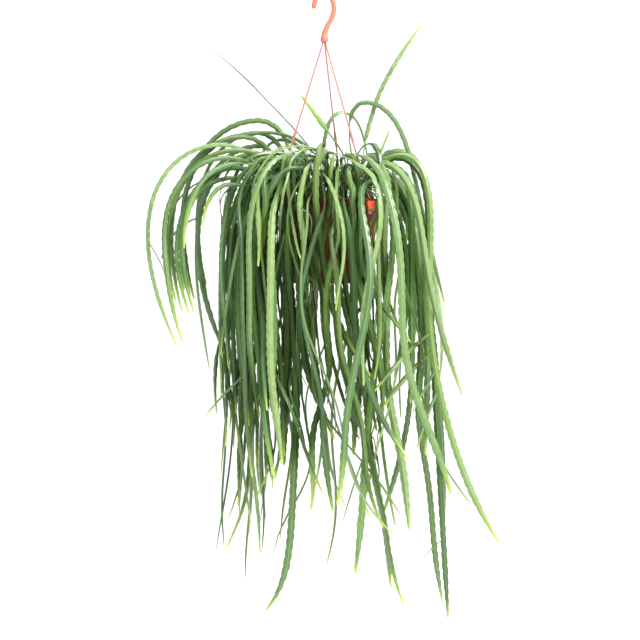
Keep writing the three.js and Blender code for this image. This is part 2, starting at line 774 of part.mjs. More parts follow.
// Bends the stems clear of each other and of what holds them, and keeps their curves smooth
function settle(stems) {
  const chains = stems.map(pointsOf);
  chains.forEach((chain) => {
    chain[0].stem.points = chain;
  });
  const points = chains.flat();
  const legs = Array.from({ length: LEGS }, (_, leg) => {
    const head = legHead(leg);
    const foot = legFoot(leg);
    return { head, span: foot.clone().sub(head), stop: foot.clone().setZ(foot.z - STOP_HEIGHT / 2) };
  });
  let pairs = [];
  for (let pass = 0; pass < PASSES; pass += 1) {
    if (pass % REFRESH === 0) {
      chains.forEach(aim);
      pairs = nearPairs(points, THICK);
    }
    pushStems(pairs);
    points.forEach((point) => pushFromHolder(point, legs));
    for (const chain of chains) {
      chain.forEach((point) => {
        point.shift.addScaledVector(point.push, EASING);
        point.push.set(0, 0, 0);
      });
      smooth(chain);
    }
    points.forEach((point) => point.now.addVectors(point.start, point.shift));
  }
  chains.forEach(aim);
  squeeze(points);
  chains.forEach((chain, index) => {
    stems[index].chain = chain.map((point, place) => {
      const near = chain.slice(Math.max(0, place - FIT_SPREAD), place + FIT_SPREAD + 1);
      return { ...point, half: point.half * Math.min(...near.map(({ fit }) => fit)) };
    });
  });
}

// Where stems still crowd, each narrows a little to let the other pass
function squeeze(points) {
  const between = new THREE.Vector3();
  for (const pair of nearPairs(points, THIN)) {
    const { a, b, ways } = pair;
    between.subVectors(a.now, b.now);
    if (ways.length && areBeside(pair, between)) {
      const fits = ways.map(({ way, wide, need }) => (
        (Math.abs(between.dot(way)) - (need - wide) - CLEAR) / Math.max(TINY, wide)
      ));
      const fit = Math.min(1, Math.max(NARROWEST, ...fits));
      a.fit = Math.min(a.fit, fit);
      b.fit = Math.min(b.fit, fit);
    }
  }
}

function smooth(chain) {
  const before = chain.map((point) => point.shift.clone());
  const last = chain.length - 1;
  for (let index = 1; index < last; index += 1) {
    chain[index].shift.copy(before[index]).multiplyScalar(0.5)
      .addScaledVector(before[index - 1], 0.25)
      .addScaledVector(before[index + 1], 0.25);
  }
  chain[last].shift.addVectors(before[last], before[last - 1]).multiplyScalar(0.5);
  const { parent, parentPoint } = chain[0].stem;
  if (parent) {
    chain[0].shift.copy(parent.points[parentPoint].shift);
  } else {
    chain[0].shift.set(0, 0, 0);
  }
}

// Fewer rings where a stem hangs straight, more where it bends
function chooseRings(chain) {
  const chosen = [0];
  const last = chain.length - 1;
  for (let index = 1; index < last - 1; index += 1) {
    const from = chain[chosen.at(-1)];
    const isFar = index - chosen.at(-1) >= RING_STEPS;
    const isBent = from.ahead.angleTo(chain[index].ahead) > RING_TURN;
    const isRoomLeft = last - index >= 2;
    if ((isFar || isBent) && isRoomLeft) chosen.push(index);
  }
  return chosen.map((index) => chain[index]);
}

// A stem is a flat strap with a ridge along one side. Its two edges are notched in turn.
function stemSolid(stem) {
  const rings = chooseRings(stem.chain);
  const corners = [];
  rings.forEach(({ now, flat, square, half }, index) => {
    const tooth = TOOTH * (index % 2 ? 1 : -1);
    const thick = Math.min(1, half / RIDGE_FULL);
    const back = now.clone().addScaledVector(square, -BACK * thick);
    corners.push(back.clone().addScaledVector(flat, -half * (1 - tooth)));
    corners.push(back.clone().addScaledVector(flat, half * (1 + tooth)));
    corners.push(now.clone().addScaledVector(square, RIDGE * thick));
  });
  corners.push(stem.chain.at(-1).now);
  const faces = [[0, 2, 1]];
  for (let ring = 0; ring < rings.length - 1; ring += 1) {
    for (let side = 0; side < 3; side += 1) {
      const a = ring * 3 + side;
      const b = ring * 3 + (side + 1) % 3;
      const isBack = side === 0;
      faces.push(isBack ? [a, b, a + 3] : [a, b, b + 3]);
      faces.push(isBack ? [b, b + 3, a + 3] : [a, b + 3, a + 3]);
    }
  }
  const end = (rings.length - 1) * 3;
  for (let side = 0; side < 3; side += 1) {
    faces.push([end + side, end + (side + 1) % 3, end + 3]);
  }
  const geometry = new THREE.BufferGeometry().setFromPoints(corners);
  geometry.setIndex(faces.flat());
  return solidOf(geometry);
}

// The stems of a clump grow from one root stub, and what little space they enclose is filled
function clumpSolid(clump) {
  const x = POT_X + clump.x;
  const stub = upright(PLUG_RADIUS, SOIL_Z - PLUG_DEPTH, SOIL_Z + PLUG_TOP, PLUG_SIDES, x, clump.y);
  const body = clump.members.reduce((joined, stem) => joined.add(stemSolid(stem)), stub);
  return body.decompose().reduce((best, part) => (part.volume() > best.volume() ? part : best));
}

// Where a clump still meets another or the holder, the stems narrow there, until all are clear
function relieve(clumps, holder) {
  for (let round = 0; round < RELIEF_ROUNDS; round += 1) {
    const solids = clumps.map(clumpSolid);
    const meetings = clumps.flatMap((clump, index) => {
      const others = clumps.slice(index + 1).map((other, step) => ({
        pair: [clump, other],
        common: solids[index].intersect(solids[index + 1 + step]),
      }));
      const held = holder.map((solid) => ({ pair: [clump], common: solids[index].intersect(solid) }));
      return [...others, ...held].filter(({ common }) => !common.isEmpty());
    });
    if (!meetings.length) return;
    for (const { pair, common } of meetings) {
      const { min, max } = common.boundingBox();
      const middle = new THREE.Vector3(...min).add(new THREE.Vector3(...max)).divideScalar(2);
      pair.flatMap(({ members }) => members).flatMap(({ chain }) => chain).forEach((point) => {
        if (point.now.distanceTo(middle) < RELIEF_NEAR) point.half *= RELIEF;
      });
    }
  }
}

function plant(holder) {
  const draw = randoms(SEED);
  const stems = [...ARCHING.map(archingStem), ...SHOOTS.map(shootStem)];
  const listed = [...stems];
  const drawn = STEMS - stems.length;
  for (let index = 0; index < drawn; index += 1) stems.push(drawnStem(index, draw));
  const clumps = groupStems(stems, draw);
  plantClumps(clumps, rootHoles());
  const branches = BRANCHES.map((row) => branchStem(row, listed));
  branches.forEach((branch) => {
    clumps[branch.clump].members.push(branch);
    stems.push(branch);
  });
  stems.forEach((stem) => dressStem(stem, draw));
  stems.forEach((stem) => {
    if (stem.parent) standOnParent(stem);
    stem.line = centreLine(stem);
  });
  settle(stems);
  relieve(clumps, holder);
  return clumps;
}

const group = new THREE.Group();
const holder = [pot(), ...Array.from({ length: LEGS }, (_, leg) => hangerLeg(leg))];
group.add(piece('hook', hook(), HOOK_COLOR, 0.45));
for (let leg = 0; leg < LEGS; leg += 1) {
  group.add(piece(`hanger_leg_${leg + 1}`, holder[leg + 1], LEG_COLOR, 0.45));
}
group.add(piece('pot', holder[0], POT_COLOR, 0.5));
group.add(piece('soil', soil(rootHoles()), SOIL_COLOR, 0.95));
for (const clump of plant(holder)) {
  const name = `stem_clump_${String(clump.index + 1).padStart(2, '0')}`;
  group.add(piece(name, clumpSolid(clump), GREENS[clump.index % GREENS.length], 0.55));
}

export default group;
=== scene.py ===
# Potted hanging cactus: fine stems, pot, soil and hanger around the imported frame.
# The stems follow the same rule and the same seeded draws as the part's own source.

import itertools
import json
import math

import bpy
import bmesh
import numpy as np
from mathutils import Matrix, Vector, noise

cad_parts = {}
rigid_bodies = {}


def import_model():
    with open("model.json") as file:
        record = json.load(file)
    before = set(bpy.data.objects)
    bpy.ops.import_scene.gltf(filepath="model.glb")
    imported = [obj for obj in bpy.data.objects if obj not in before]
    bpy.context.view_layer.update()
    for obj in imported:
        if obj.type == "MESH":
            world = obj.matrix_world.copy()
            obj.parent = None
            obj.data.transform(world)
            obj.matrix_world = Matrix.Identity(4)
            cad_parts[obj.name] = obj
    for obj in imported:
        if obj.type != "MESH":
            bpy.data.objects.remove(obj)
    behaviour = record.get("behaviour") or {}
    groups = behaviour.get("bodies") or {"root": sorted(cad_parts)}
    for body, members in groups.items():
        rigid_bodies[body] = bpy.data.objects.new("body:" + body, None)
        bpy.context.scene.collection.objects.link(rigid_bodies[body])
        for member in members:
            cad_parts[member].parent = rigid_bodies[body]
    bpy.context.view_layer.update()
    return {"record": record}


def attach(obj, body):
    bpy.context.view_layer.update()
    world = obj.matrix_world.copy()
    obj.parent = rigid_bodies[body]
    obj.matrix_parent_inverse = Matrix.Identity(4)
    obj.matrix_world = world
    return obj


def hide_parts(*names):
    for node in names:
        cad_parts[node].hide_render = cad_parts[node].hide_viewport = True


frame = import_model()


MM = 0.001

# The rule that places the stems, in millimetres

POT_X = 6
RIM_Z = -264
RIM_RADIUS = 75
RIM_THICKNESS = 2.4
WALL_TOP_RADIUS = 67
RIM_MIDDLE = 70.5
BASE_RADIUS = 52
POT_HEIGHT = 108
WALL = 1.8
GAP = 0.3
BULB_BOTTOM = -61
LEGS = 3
FIRST_LEG = -45
LEG_CIRCLE = 72.4
LEG_HOLE = 2.1
LEG_HEAD = 1.9
HEAD_RISE = 0.385
STOP_HEIGHT = 13
STOP_TOP = RIM_Z - RIM_THICKNESS - GAP
SOIL_Z = RIM_Z - 12
ROOT_DISC = 54

CLUMPS = 48
STEMS = 127
SEED = 7
STEP = 8

GOLDEN = 137.508
GOLDEN_SHARE = 0.618
FIRST_DRAWN = 20
LEFTWARD = 17
FRONTWARD = 12
TRADES = 12
WORTH_TRADING = 1e-6
CHOSEN_WEIGHT = 3
ROOT_NEAREST = 14
ROOT_SPREAD = 44
ROOT_WANDER = 10

# The least value and the spread of each measure that a stem draws
DRAWN = {
    "out": (22, 46),
    "beyond": (40, 54),
    "up": (26, 40),
    "length": (300, 360),
    "lean": (-0.13, 0.22),
    "drift": (-0.2, 0.5),
    "late": (1.4, 1.6),
    "width": (5.4, 5),
    "wave": (4, 9),
    "period": (170, 170),
    "phase": (0, 2 * math.pi),
    "turn": (-0.5, 1.0),
    "twist": (-1.0, 2.0),
}
LONG_BIAS = 1.3
LEFT_SHORTER = 70
LEFT_LEAN = 0.05
FACING = 1.2

LAUNCHES = (0.05, 1.5705)
HALVINGS = 40
STEEPEST = 5
FEWEST_STEPS = 8
WAVE_RUN = 80
SWAY = 0.6
SWAY_PACE = 4.1
SWAY_PHASE = 1.7
CENTRING = 0.5
CENTRING_RUN = 160
LISTED_CENTRING = 1
LISTED_EASE = 0.5

ROOT_SHARE = 0.4
ROOT_RUN = 110
TIP_SHARE = 0.36
TIP_RUN = 90

CELL_ROW = 4096
CELL_MIDDLE = 1024
TINY = 1e-9

PASSES = 230
REFRESH = 5
EASING = 0.6
NEAR = 17
ROOM = 1.0
THICK = 2.0
SEGMENT = 4
PAST_SEGMENTS = 1.5
SLANT = 0.5
CROSSING = 0.45
PUSH_MOST = 6
CLEAR = 0.5
THIN = 1.7
NARROWEST = 0.3
FIT_SPREAD = 3
ROOTED = 6
LOOSENING = 36
PARTING = 70

HOLDER_ROOM = 2.5
RIM_DROP = 3
RIM_BAND = 6
RIM_FROM = 14
WALL_FROM = 50
WALL_EASE = 8
WALL_PUSH = 30
BELOW_POT = 10
STRAND_ROOM = 5.2
VIEW_TOP = -200
VIEW_BELOW = 24
VIEW_PUSH = 10
STRAND_VIEW = 3
STOP_VIEW = 7
STOP_ROOM = 9

# Each row is a stem that arches over the rim: direction, where it leaves the soil, how far out and how high
# its top is, how far out it hangs, length, lean and drift of the hanging part, how late they set in, width
ARCHING = [
    (186, 40, 134, 84, 286, 462, -0.25, 0, 2.2, 7),
    (196, 34, 123, 68, 266, 420, -0.22, 0.03, 2.2, 7),
    (170, 22, 93, 117, 240, 450, -0.18, 0, 2, 7.5),
    (162, 26, 97, 100, 226, 390, -0.2, 0, 2, 7),
    (146, 20, 76, 92, 132, 200, 0, 0, 2, 6.5),
    (205, 36, 122, 60, 232, 270, -0.12, 0, 2, 7),
    (210, 30, 136, 32, 206, 198, -0.12, 0, 2, 6.5),
    (152, 30, 80, 66, 150, 400, -0.1, 0.1, 2, 7),
    (236, 0, 14, 66, 104, 470, -0.1, 0.12, 2, 10),
    (214, 16, 40, 50, 160, 440, -0.1, 0, 2, 9),
    (190, 20, 104, 60, 232, 330, -0.16, -0.06, 2, 7),
    (178, 30, 90, 74, 188, 430, -0.1, 0.06, 2, 7),
    (222, 26, 60, 62, 140, 440, -0.08, -0.02, 2, 8),
    (199, 46, 116, 50, 246, 330, -0.22, 0.04, 2, 7),
    (180, 46, 110, 92, 250, 410, -0.19, 0.05, 2, 7.5),
    (352, 16, 43, 137, 84, 430, 0.24, 0, 1, 8),
    (20, -2, 23, 124, 53, 240, 0.1, 0, 2, 6.5),
    (12, 30, 92, 76, 136, 330, -0.04, 0, 2, 8),
    (338, 30, 92, 70, 138, 612, 0.18, 0, 4, 9),
    (350, 40, 84, 66, 132, 704, 0.04, 0, 2, 8),
    (330, 30, 70, 64, 124, 420, -0.04, 0.05, 2, 10),
    (318, 30, 56, 54, 104, 600, -0.02, -0.1, 1.5, 11),
    (20, 40, 80, 66, 134, 400, 0.02, 0, 2, 8),
    (300, 4, 24, 58, 94, 470, -0.06, 0, 2, 11),
    (312, 10, 70, 74, 104, 234, -0.24, 0, 2, 8),
    (256, 10, 26, 62, 88, 370, 0, 0.26, 3, 10),
    (294, 20, 40, 44, 86, 520, 0.04, 0.1, 2, 10),
    (246, 10, 24, 60, 96, 540, 0, 0.2, 2, 11),
    (228, 20, 36, 58, 120, 480, 0, 0.06, 2, 10),
    (243, 30, 40, 56, 90, 652, 0, -0.08, 12, 10),
    (292, 30, 40, 56, 80, 620, 0, 0.1, 2, 12),
    (310, 30, 50, 60, 96, 560, 0.02, 0.1, 2, 11),
    (188, 30, 116, 76, 258, 380, -0.2, 0, 2, 7),
    (192, 24, 112, 58, 240, 360, -0.2, 0, 2, 7),
    (174, 34, 100, 96, 246, 400, -0.2, 0, 2, 7.5),
    (183, 20, 92, 68, 206, 420, -0.24, 0, 2, 9),
    (166, 30, 90, 84, 214, 360, -0.16, 0, 2, 7),
    (233, -4, 14, 66, 92, 500, 0, 0, 2, 12),
    (226, 2, 20, 62, 112, 430, 0, 0.04, 2, 11),
    (240, 4, 16, 62, 84, 540, 0, 0.12, 2, 9),
    (250, 4, 10, 62, 80, 450, 0, 0.18, 2, 10),
    (262, 6, 20, 62, 84, 500, 0, -0.14, 2, 10),
    (276, 0, 14, 60, 88, 440, 0, 0.14, 2, 9),
    (218, 6, 30, 58, 100, 470, 0, 0.1, 2, 8),
    (208, 10, 40, 70, 112, 440, 0, 0.15, 2, 8),
    (190, 12, 56, 74, 148, 436, -0.02, 0.06, 2, 8),
    (203, 16, 64, 66, 158, 400, -0.05, 0.02, 2, 7),
    (282, 10, 60, 50, 92, 400, 0, 0.14, 1, 11),
    (303, 24, 46, 52, 90, 440, 0, 0.06, 2, 9),
    (272, 14, 44, 40, 86, 470, 0, 0.16, 1.5, 9),
]
# Each row is a shoot that stands: direction, root, launch angle, length, bend radius, width
SHOOTS = [
    (356, 8, 73, 262, 350, 7),
    (180, -24, 68, 162, 500, 9),
    (174, -6, 66, 262, 300, 2.4),
    (8, 12, 62, 122, 700, 5),
    (176, 10, 66, 96, 300, 5),
]
# Each row is a side branch: its parent's place in ARCHING, how far along the parent it starts,
# direction, launch angle, length, bend radius, width
BRANCHES = [
    (18, 352, 214, -30, 114, 300, 8),
    (18, 370, 217, -34, 104, 300, 8),
    (18, 399, 214, -42, 66, 120, 6.5),
    (18, 421, 220, -50, 84, 110, 7),
    (19, 596, 190, -30, 44, 60, 4),
    (9, 376, 190, -40, 70, 220, 5.5),
    (0, 330, 20, -50, 60, 60, 5),
    (11, 230, 200, -10, 80, 50, 5),
    (3, 250, 190, -20, 80, 60, 5),
]
# How yellow-green a listed stem is towards its tip, by its place in ARCHING
YOUNG = {
    0: 0.9, 1: 1.0, 2: 0.7, 3: 0.6, 4: 0.3, 5: 1.0, 6: 0.9,
    14: 0.8, 15: 0.1, 16: 0.0, 18: 0.7, 24: 1.0, 32: 0.9, 33: 0.8,
}
SHOOT_YOUNG = (0.6, 0.9, 0.0, 1.0, 0.6)


def randoms(seed):
    state = seed

    def draw():
        nonlocal state
        state = state * 16807 % 2147483647
        return (state - 1) / 2147483646
    return draw


def pick(name, draw, bias=1):
    least, spread = DRAWN[name]
    return least + spread * draw() ** bias


def climb(distance, height):
    """Launch angle and bend radius of a rise that ends level, so far out and so high"""
    low, high = LAUNCHES
    for _ in range(HALVINGS):
        angle = (low + high) / 2
        if -math.log(math.cos(angle)) / angle < height / distance:
            low = angle
        else:
            high = angle
    return low, distance / low


def arching_stem(row):
    names = ("azimuth", "root", "out", "up", "reach", "length", "lean", "drift", "late", "width")
    return dict(zip(names, row))


def shoot_stem(row):
    azimuth, root, launch, length, bend, width = row
    angle = math.radians(launch)
    return {"azimuth": azimuth, "root": root, "out": bend * angle, "up": -bend * math.log(math.cos(angle)),
            "bend": bend, "length": length, "width": width, "lean": 0, "drift": 0, "late": 2}


def branch_stem(row, listed):
    """A shoot that stands on another stem"""
    index, place, *shoot = row
    parent = listed[index]
    shoot.insert(1, 0)
    return shoot_stem(shoot) | {
        "parent": parent, "place": place, "clump": parent["clump"], "foot_side": 0, "is_listed": True,
    }


def drawn_stem(index, draw):
    even = (index * GOLDEN + FIRST_DRAWN) % 360
    azimuth = even + LEFTWARD * math.sin(math.radians(even)) - FRONTWARD * math.cos(math.radians(even))
    leftness = 0.5 - 0.5 * math.cos(math.radians(azimuth))
    stem = {"azimuth": azimuth, "root": None, "is_listed": False, "out": pick("out", draw)}
    stem["reach"] = stem["out"] + pick("beyond", draw)
    stem["up"] = pick("up", draw)
    stem["length"] = pick("length", draw, LONG_BIAS) - LEFT_SHORTER * leftness
    stem["lean"] = pick("lean", draw) - LEFT_LEAN * leftness
    return stem | {name: pick(name, draw) for name in ("drift", "late")}


def root_holes():
    index = np.arange(CLUMPS)
    angle = np.radians(index * GOLDEN % 360)
    radius = ROOT_DISC * np.sqrt((index + 0.5) / CLUMPS)
    return np.stack([radius * np.cos(angle), radius * np.sin(angle)], 1)


def group_stems(stems, draw):
    stems.sort(key=lambda stem: stem["azimuth"])
    for place, stem in enumerate(stems):
        stem["clump"] = place * CLUMPS // len(stems)
    clumps = []
    for index in range(CLUMPS):
        members = [stem for stem in stems if stem["clump"] == index]
        wanted = [stem["root"] for stem in members if stem["root"] is not None]
        middle = sum(stem["azimuth"] for stem in members) / len(members)
        angle = math.radians(middle + ROOT_WANDER * (draw() - 0.5))
        spread = index * GOLDEN_SHARE % 1
        radius = min(wanted) if wanted else ROOT_NEAREST + ROOT_SPREAD * spread
        clumps.append({"index": index, "members": members, "weight": CHOSEN_WEIGHT if wanted else 1,
                       "want": (radius * math.cos(angle), radius * math.sin(angle)), "hole": index})
    return clumps


def plant_clumps(clumps, holes):
    holes = [(float(x), float(y)) for x, y in holes]
    want = [clump["want"] for clump in clumps]
    cost = [
        [c["weight"] * ((h[0] - w[0]) ** 2 + (h[1] - w[1]) ** 2) for h in holes]
        for c, w in zip(clumps, want)
    ]
    for _ in range(TRADES):
        for a in clumps:
            for b in clumps:
                mine, other = cost[a["index"]], cost[b["index"]]
                gain = mine[a["hole"]] + other[b["hole"]] - mine[b["hole"]] - other[a["hole"]]
                if gain > WORTH_TRADING:
                    a["hole"], b["hole"] = b["hole"], a["hole"]
    for clump in clumps:
        x, y = holes[clump["hole"]]
        clump["x"], clump["y"] = x, y
        for stem in clump["members"]:
            angle = math.radians(stem["azimuth"])
            stem["foot"] = np.array([POT_X + x, y, SOIL_Z])
            stem["foot_out"] = x * math.cos(angle) + y * math.sin(angle)
            stem["foot_side"] = y * math.cos(angle) - x * math.sin(angle)


def dress_stem(stem, draw):
    if stem.get("width") is None:
        stem["width"] = pick("width", draw)
    ease = LISTED_EASE if stem["is_listed"] else 1
    stem["wave"] = ease * pick("wave", draw)
    stem["period"] = pick("period", draw)
    stem["phase"] = pick("phase", draw)
    stem["turn"] = ease * pick("turn", draw) + FACING * math.cos(math.radians(stem["azimuth"]))
    stem["twist"] = ease * pick("twist", draw)


def centre_line(stem):
    angle = math.radians(stem["azimuth"])
    out = np.array([math.cos(angle), math.sin(angle), 0])
    side = np.array([-out[1], out[0], 0])
    if "bend" in stem:
        distance = stem["out"]
        launch, rise_bend = stem["out"] / stem["bend"], stem["bend"]
        fall_bend = stem["bend"]
    else:
        start_out = stem["root"] if stem["is_listed"] else stem["foot_out"]
        distance = max(stem["up"] / STEEPEST, stem["out"] - start_out)
        launch, rise_bend = climb(distance, stem["up"])
        fall_bend = (stem["reach"] - stem["out"]) / (math.pi / 2)
    top = rise_bend * math.asinh(math.tan(launch))
    count = max(FEWEST_STEPS, round_half_up(stem["length"] / STEP))
    along = stem["length"] * np.arange(count + 1) / count
    past = along - top
    bend = np.where(past < 0, rise_bend, fall_bend)
    turn = np.arctan(np.sinh(past / bend))
    hang = np.maximum(0, past)
    hanging = max(1, stem["length"] - top)
    tail = hanging * (hang / hanging) ** stem["late"]
    ramp = along / (along + WAVE_RUN)
    swing = stem["wave"] * np.sin(2 * math.pi * along / stem["period"] + stem["phase"])
    sway = SWAY * stem["wave"] * np.sin(SWAY_PACE * along / stem["period"] + SWAY_PHASE * stem["phase"])
    centring = LISTED_CENTRING if stem["is_listed"] else CENTRING
    missed = stem["root"] - stem["foot_out"] if stem["is_listed"] and "parent" not in stem else 0
    centred = centring * stem["foot_side"] * np.minimum(1, along * centring / CENTRING_RUN / CENTRING)
    outward = (distance + bend * turn + stem["lean"] * tail + sway * ramp
               + missed * np.minimum(1, along / CENTRING_RUN))
    sideways = stem["drift"] * tail + swing * ramp - centred
    line = stem["foot"] + outward[:, None] * out + sideways[:, None] * side
    line[:, 2] = stem["foot"][2] + stem["up"] + bend * np.log(np.cos(turn))
    return line


def round_half_up(value):
    return math.floor(value + 0.5)


def leg_points():
    """Each leg's head at the bulb and foot at the rim"""
    points = []
    for leg in range(LEGS):
        angle = math.radians(FIRST_LEG + leg * 360 / LEGS)
        x, y = POT_X + LEG_CIRCLE * math.cos(angle), LEG_CIRCLE * math.sin(angle)
        foot = np.array([x, y, RIM_Z - RIM_THICKNESS / 2])
        head = np.array([foot[0], foot[1], 0])
        head *= LEG_HEAD / np.linalg.norm(head)
        head[2] = BULB_BOTTOM - GAP - HEAD_RISE
        points.append((head, foot))
    return points


def wall_radius(z):
    return WALL_TOP_RADIUS + (BASE_RADIUS - WALL_TOP_RADIUS) * (RIM_Z - z) / POT_HEIGHT


def near_pairs(now, reach):
    """Pairs of points less than a reach apart, found through a grid of cells"""
    cell = np.floor(now / reach).astype(np.int64) + CELL_MIDDLE
    key = (cell[:, 0] * CELL_ROW + cell[:, 1]) * CELL_ROW + cell[:, 2]
    order = np.argsort(key, kind="stable")
    ranked = key[order]
    here = np.arange(len(now))
    found = []
    for dx, dy, dz in itertools.product((-1, 0, 1), repeat=3):
        other = key + (dx * CELL_ROW + dy) * CELL_ROW + dz
        low = np.searchsorted(ranked, other, "left")
        count = np.searchsorted(ranked, other, "right") - low
        a = np.repeat(here, count)
        step = np.arange(count.sum()) - np.repeat(np.cumsum(count) - count, count)
        b = order[np.repeat(low, count) + step]
        found.append(np.stack([a, b], 1)[a < b])
    pairs = np.concatenate(found)
    return pairs[lengths(now[pairs[:, 0]] - now[pairs[:, 1]]) < reach]


def lengths(vectors):
    return np.linalg.norm(vectors, axis=1)


def unit(vectors):
    return vectors / lengths(vectors)[:, None]


def dot(a, b):
    return np.einsum("ij,ij->i", a, b)


class Bundle:
    """All stems' points in one array, with what each point needs to know"""

    def __init__(self, stems):
        self.stems = stems
        for row, stem in enumerate(stems):
            stem["row"] = row
        sizes = [len(stem["line"]) for stem in stems]
        self.start = np.concatenate([stem["line"] for stem in stems])
        self.first = np.cumsum([0] + sizes[:-1])
        self.last = self.first + np.array(sizes) - 1
        self.owner = np.repeat(np.arange(len(stems)), sizes)
        self.clump, length, width = (self.each(name)[self.owner] for name in ("clump", "length", "width"))
        self.along = np.concatenate(
            [stem["length"] * np.arange(size) / (size - 1) for size, stem in zip(sizes, stems)])
        root = np.minimum(1, ROOT_SHARE + self.along / ROOT_RUN)
        tip = np.minimum(1, TIP_SHARE + (length - self.along) / TIP_RUN)
        self.half = width / 2 * root * tip
        self.loose = np.clip((self.along - ROOTED) / LOOSENING, 0, 1)
        self.now = self.start.copy()
        self.shift = np.zeros_like(self.start)
        self.here = np.arange(len(self.now))
        self.before = np.maximum(self.here - 1, self.first[self.owner])
        self.after = np.minimum(self.here + 1, self.last[self.owner])
        self.aim()

    def each(self, name):
        return np.array([stem[name] for stem in self.stems])

    def aim(self):
        """The way each point's stem runs and lies flat, carried along from the root"""
        self.ahead = unit(self.now[self.after] - self.now[self.before])
        span = self.now[self.last] - self.now[self.first]
        across = unit(np.stack([-span[:, 1], span[:, 0], np.zeros(len(span))], 1))
        turn, twist = self.each("turn"), self.each("twist")
        count = self.last - self.first
        self.flat = np.zeros_like(self.now)
        for step in range(count.max() + 1):
            live = np.nonzero(count >= step)[0]
            place = self.first[live] + step
            ahead = self.ahead[place]
            level = unit(across[live] - ahead * dot(across[live], ahead)[:, None])
            across[live] = level
            angle = turn[live] + twist[live] * step / count[live]
            self.flat[place] = level * np.cos(angle)[:, None]
            self.flat[place] += np.cross(ahead, level) * np.sin(angle)[:, None]
        self.square = np.cross(self.ahead, self.flat)

    def reach_along(self, i, u, thick, segment):
        """How far a stem's cross-section and segment reach from its centre along a direction"""
        return (self.half[i] * np.abs(dot(self.flat[i], u)) + thick * np.abs(dot(self.square[i], u))
                + segment * np.abs(dot(self.ahead[i], u)))

    def close_pairs(self):
        """Near points of different stems, but not of one clump's stems where they part"""
        pairs = near_pairs(self.now, NEAR)
        a, b = pairs[:, 0], pairs[:, 1]
        other = self.owner[a] != self.owner[b]
        free = (self.along[a] > PARTING) & (self.along[b] > PARTING)
        return pairs[other & ((self.clump[a] != self.clump[b]) | free)]

    def axes(self, pairs):
        """For each pair, the directions it may part along, and whether each one counts"""
        a, b = pairs[:, 0], pairs[:, 1]
        cross = np.cross(self.ahead[a], self.ahead[b])
        crossing = lengths(cross)
        is_crossing = crossing > CROSSING
        options = [(cross / np.maximum(crossing, TINY)[:, None], is_crossing)]
        for u in (self.square[a], self.square[b], self.flat[a], self.flat[b]):
            fair = (np.abs(dot(self.ahead[a], u)) < SLANT) & (np.abs(dot(self.ahead[b], u)) < SLANT)
            options.append((u, fair & ~is_crossing))
        return options

    def past(self, a, b, between, thick):
        """Whether the points of a pair have passed each other along either stem"""
        past = np.zeros(len(a), bool)
        for one, two in ((a, b), (b, a)):
            u = self.ahead[one]
            reach = self.reach_along(two, u, thick, SEGMENT)
            past |= np.abs(dot(between, u)) > SEGMENT * PAST_SEGMENTS + reach
        return past

    def push_stems(self, pairs, push):
        """Each pair parts along the way that asks the least"""
        a, b = pairs[:, 0], pairs[:, 1]
        between = self.now[a] - self.now[b]
        best = np.full(len(a), -np.inf)
        way = np.zeros_like(between)
        for u, counts in self.axes(pairs):
            side = dot(between, u)
            need = self.reach_along(a, u, THICK, SEGMENT) + self.reach_along(b, u, THICK, SEGMENT) + ROOM
            gap = np.where(counts, np.abs(side) - need, -np.inf)
            better = gap > best
            best = np.where(better, gap, best)
            way[better] = (np.where(side < 0, -1, 1)[:, None] * u)[better]
        loose = self.loose[a] + self.loose[b]
        live = (best < 0) & np.isfinite(best) & ~self.past(a, b, between, THICK) & (loose > 0)
        amount = np.minimum(PUSH_MOST, -best[live]) / loose[live]
        step = way[live] * amount[:, None]
        for axis in range(3):
            push[:, axis] += np.bincount(a[live], step[:, axis] * self.loose[a[live]], len(push))
            push[:, axis] -= np.bincount(b[live], step[:, axis] * self.loose[b[live]], len(push))

    def push_from_pot(self, push):
        x, y, z = self.now[:, 0] - POT_X, self.now[:, 1], self.now[:, 2]
        radius = np.maximum(1, np.hypot(x, y))
        across, above = radius - RIM_MIDDLE, z - RIM_Z + RIM_DROP
        rim = np.hypot(across, above) + TINY
        u = np.stack([x / radius * across / rim, y / radius * across / rim, above / rim], 1)
        short = self.reach_along(self.here, u, THICK, 0) + HOLDER_ROOM + RIM_BAND - rim
        amount = np.where((short > 0) & (self.along > RIM_FROM), short * self.loose, 0)
        push += u * amount[:, None]
        below = np.clip((RIM_Z - z) / WALL_EASE, 0, 1)
        outward = np.stack([x / radius, y / radius, np.zeros(len(x))], 1)
        room = self.reach_along(self.here, outward, THICK, 0) + HOLDER_ROOM
        wall = np.maximum(wall_radius(z), RIM_RADIUS - np.maximum(0, RIM_Z - RIM_BAND - z)) + room
        at_wall = (below > 0) & (z > RIM_Z - POT_HEIGHT - BELOW_POT) & (self.along > WALL_FROM)
        amount = np.where(at_wall, np.clip(wall - radius, 0, WALL_PUSH) * below * self.loose, 0)
        push += outward * amount[:, None]

    def push_off(self, push, points, room):
        """Stems keep their room from one point, or each from its own point"""
        away = self.now - points
        distance = lengths(away) + TINY
        u = away / distance[:, None]
        short = self.reach_along(self.here, u, THICK, 0) + room - distance
        push += u * (np.maximum(0, short) * self.loose)[:, None]

    def beside(self, head, foot):
        """The nearest point of a leg to each point"""
        span = foot - head
        share = np.clip((self.now - head) @ span / (span @ span), 0, 1)
        return head + share[:, None] * span

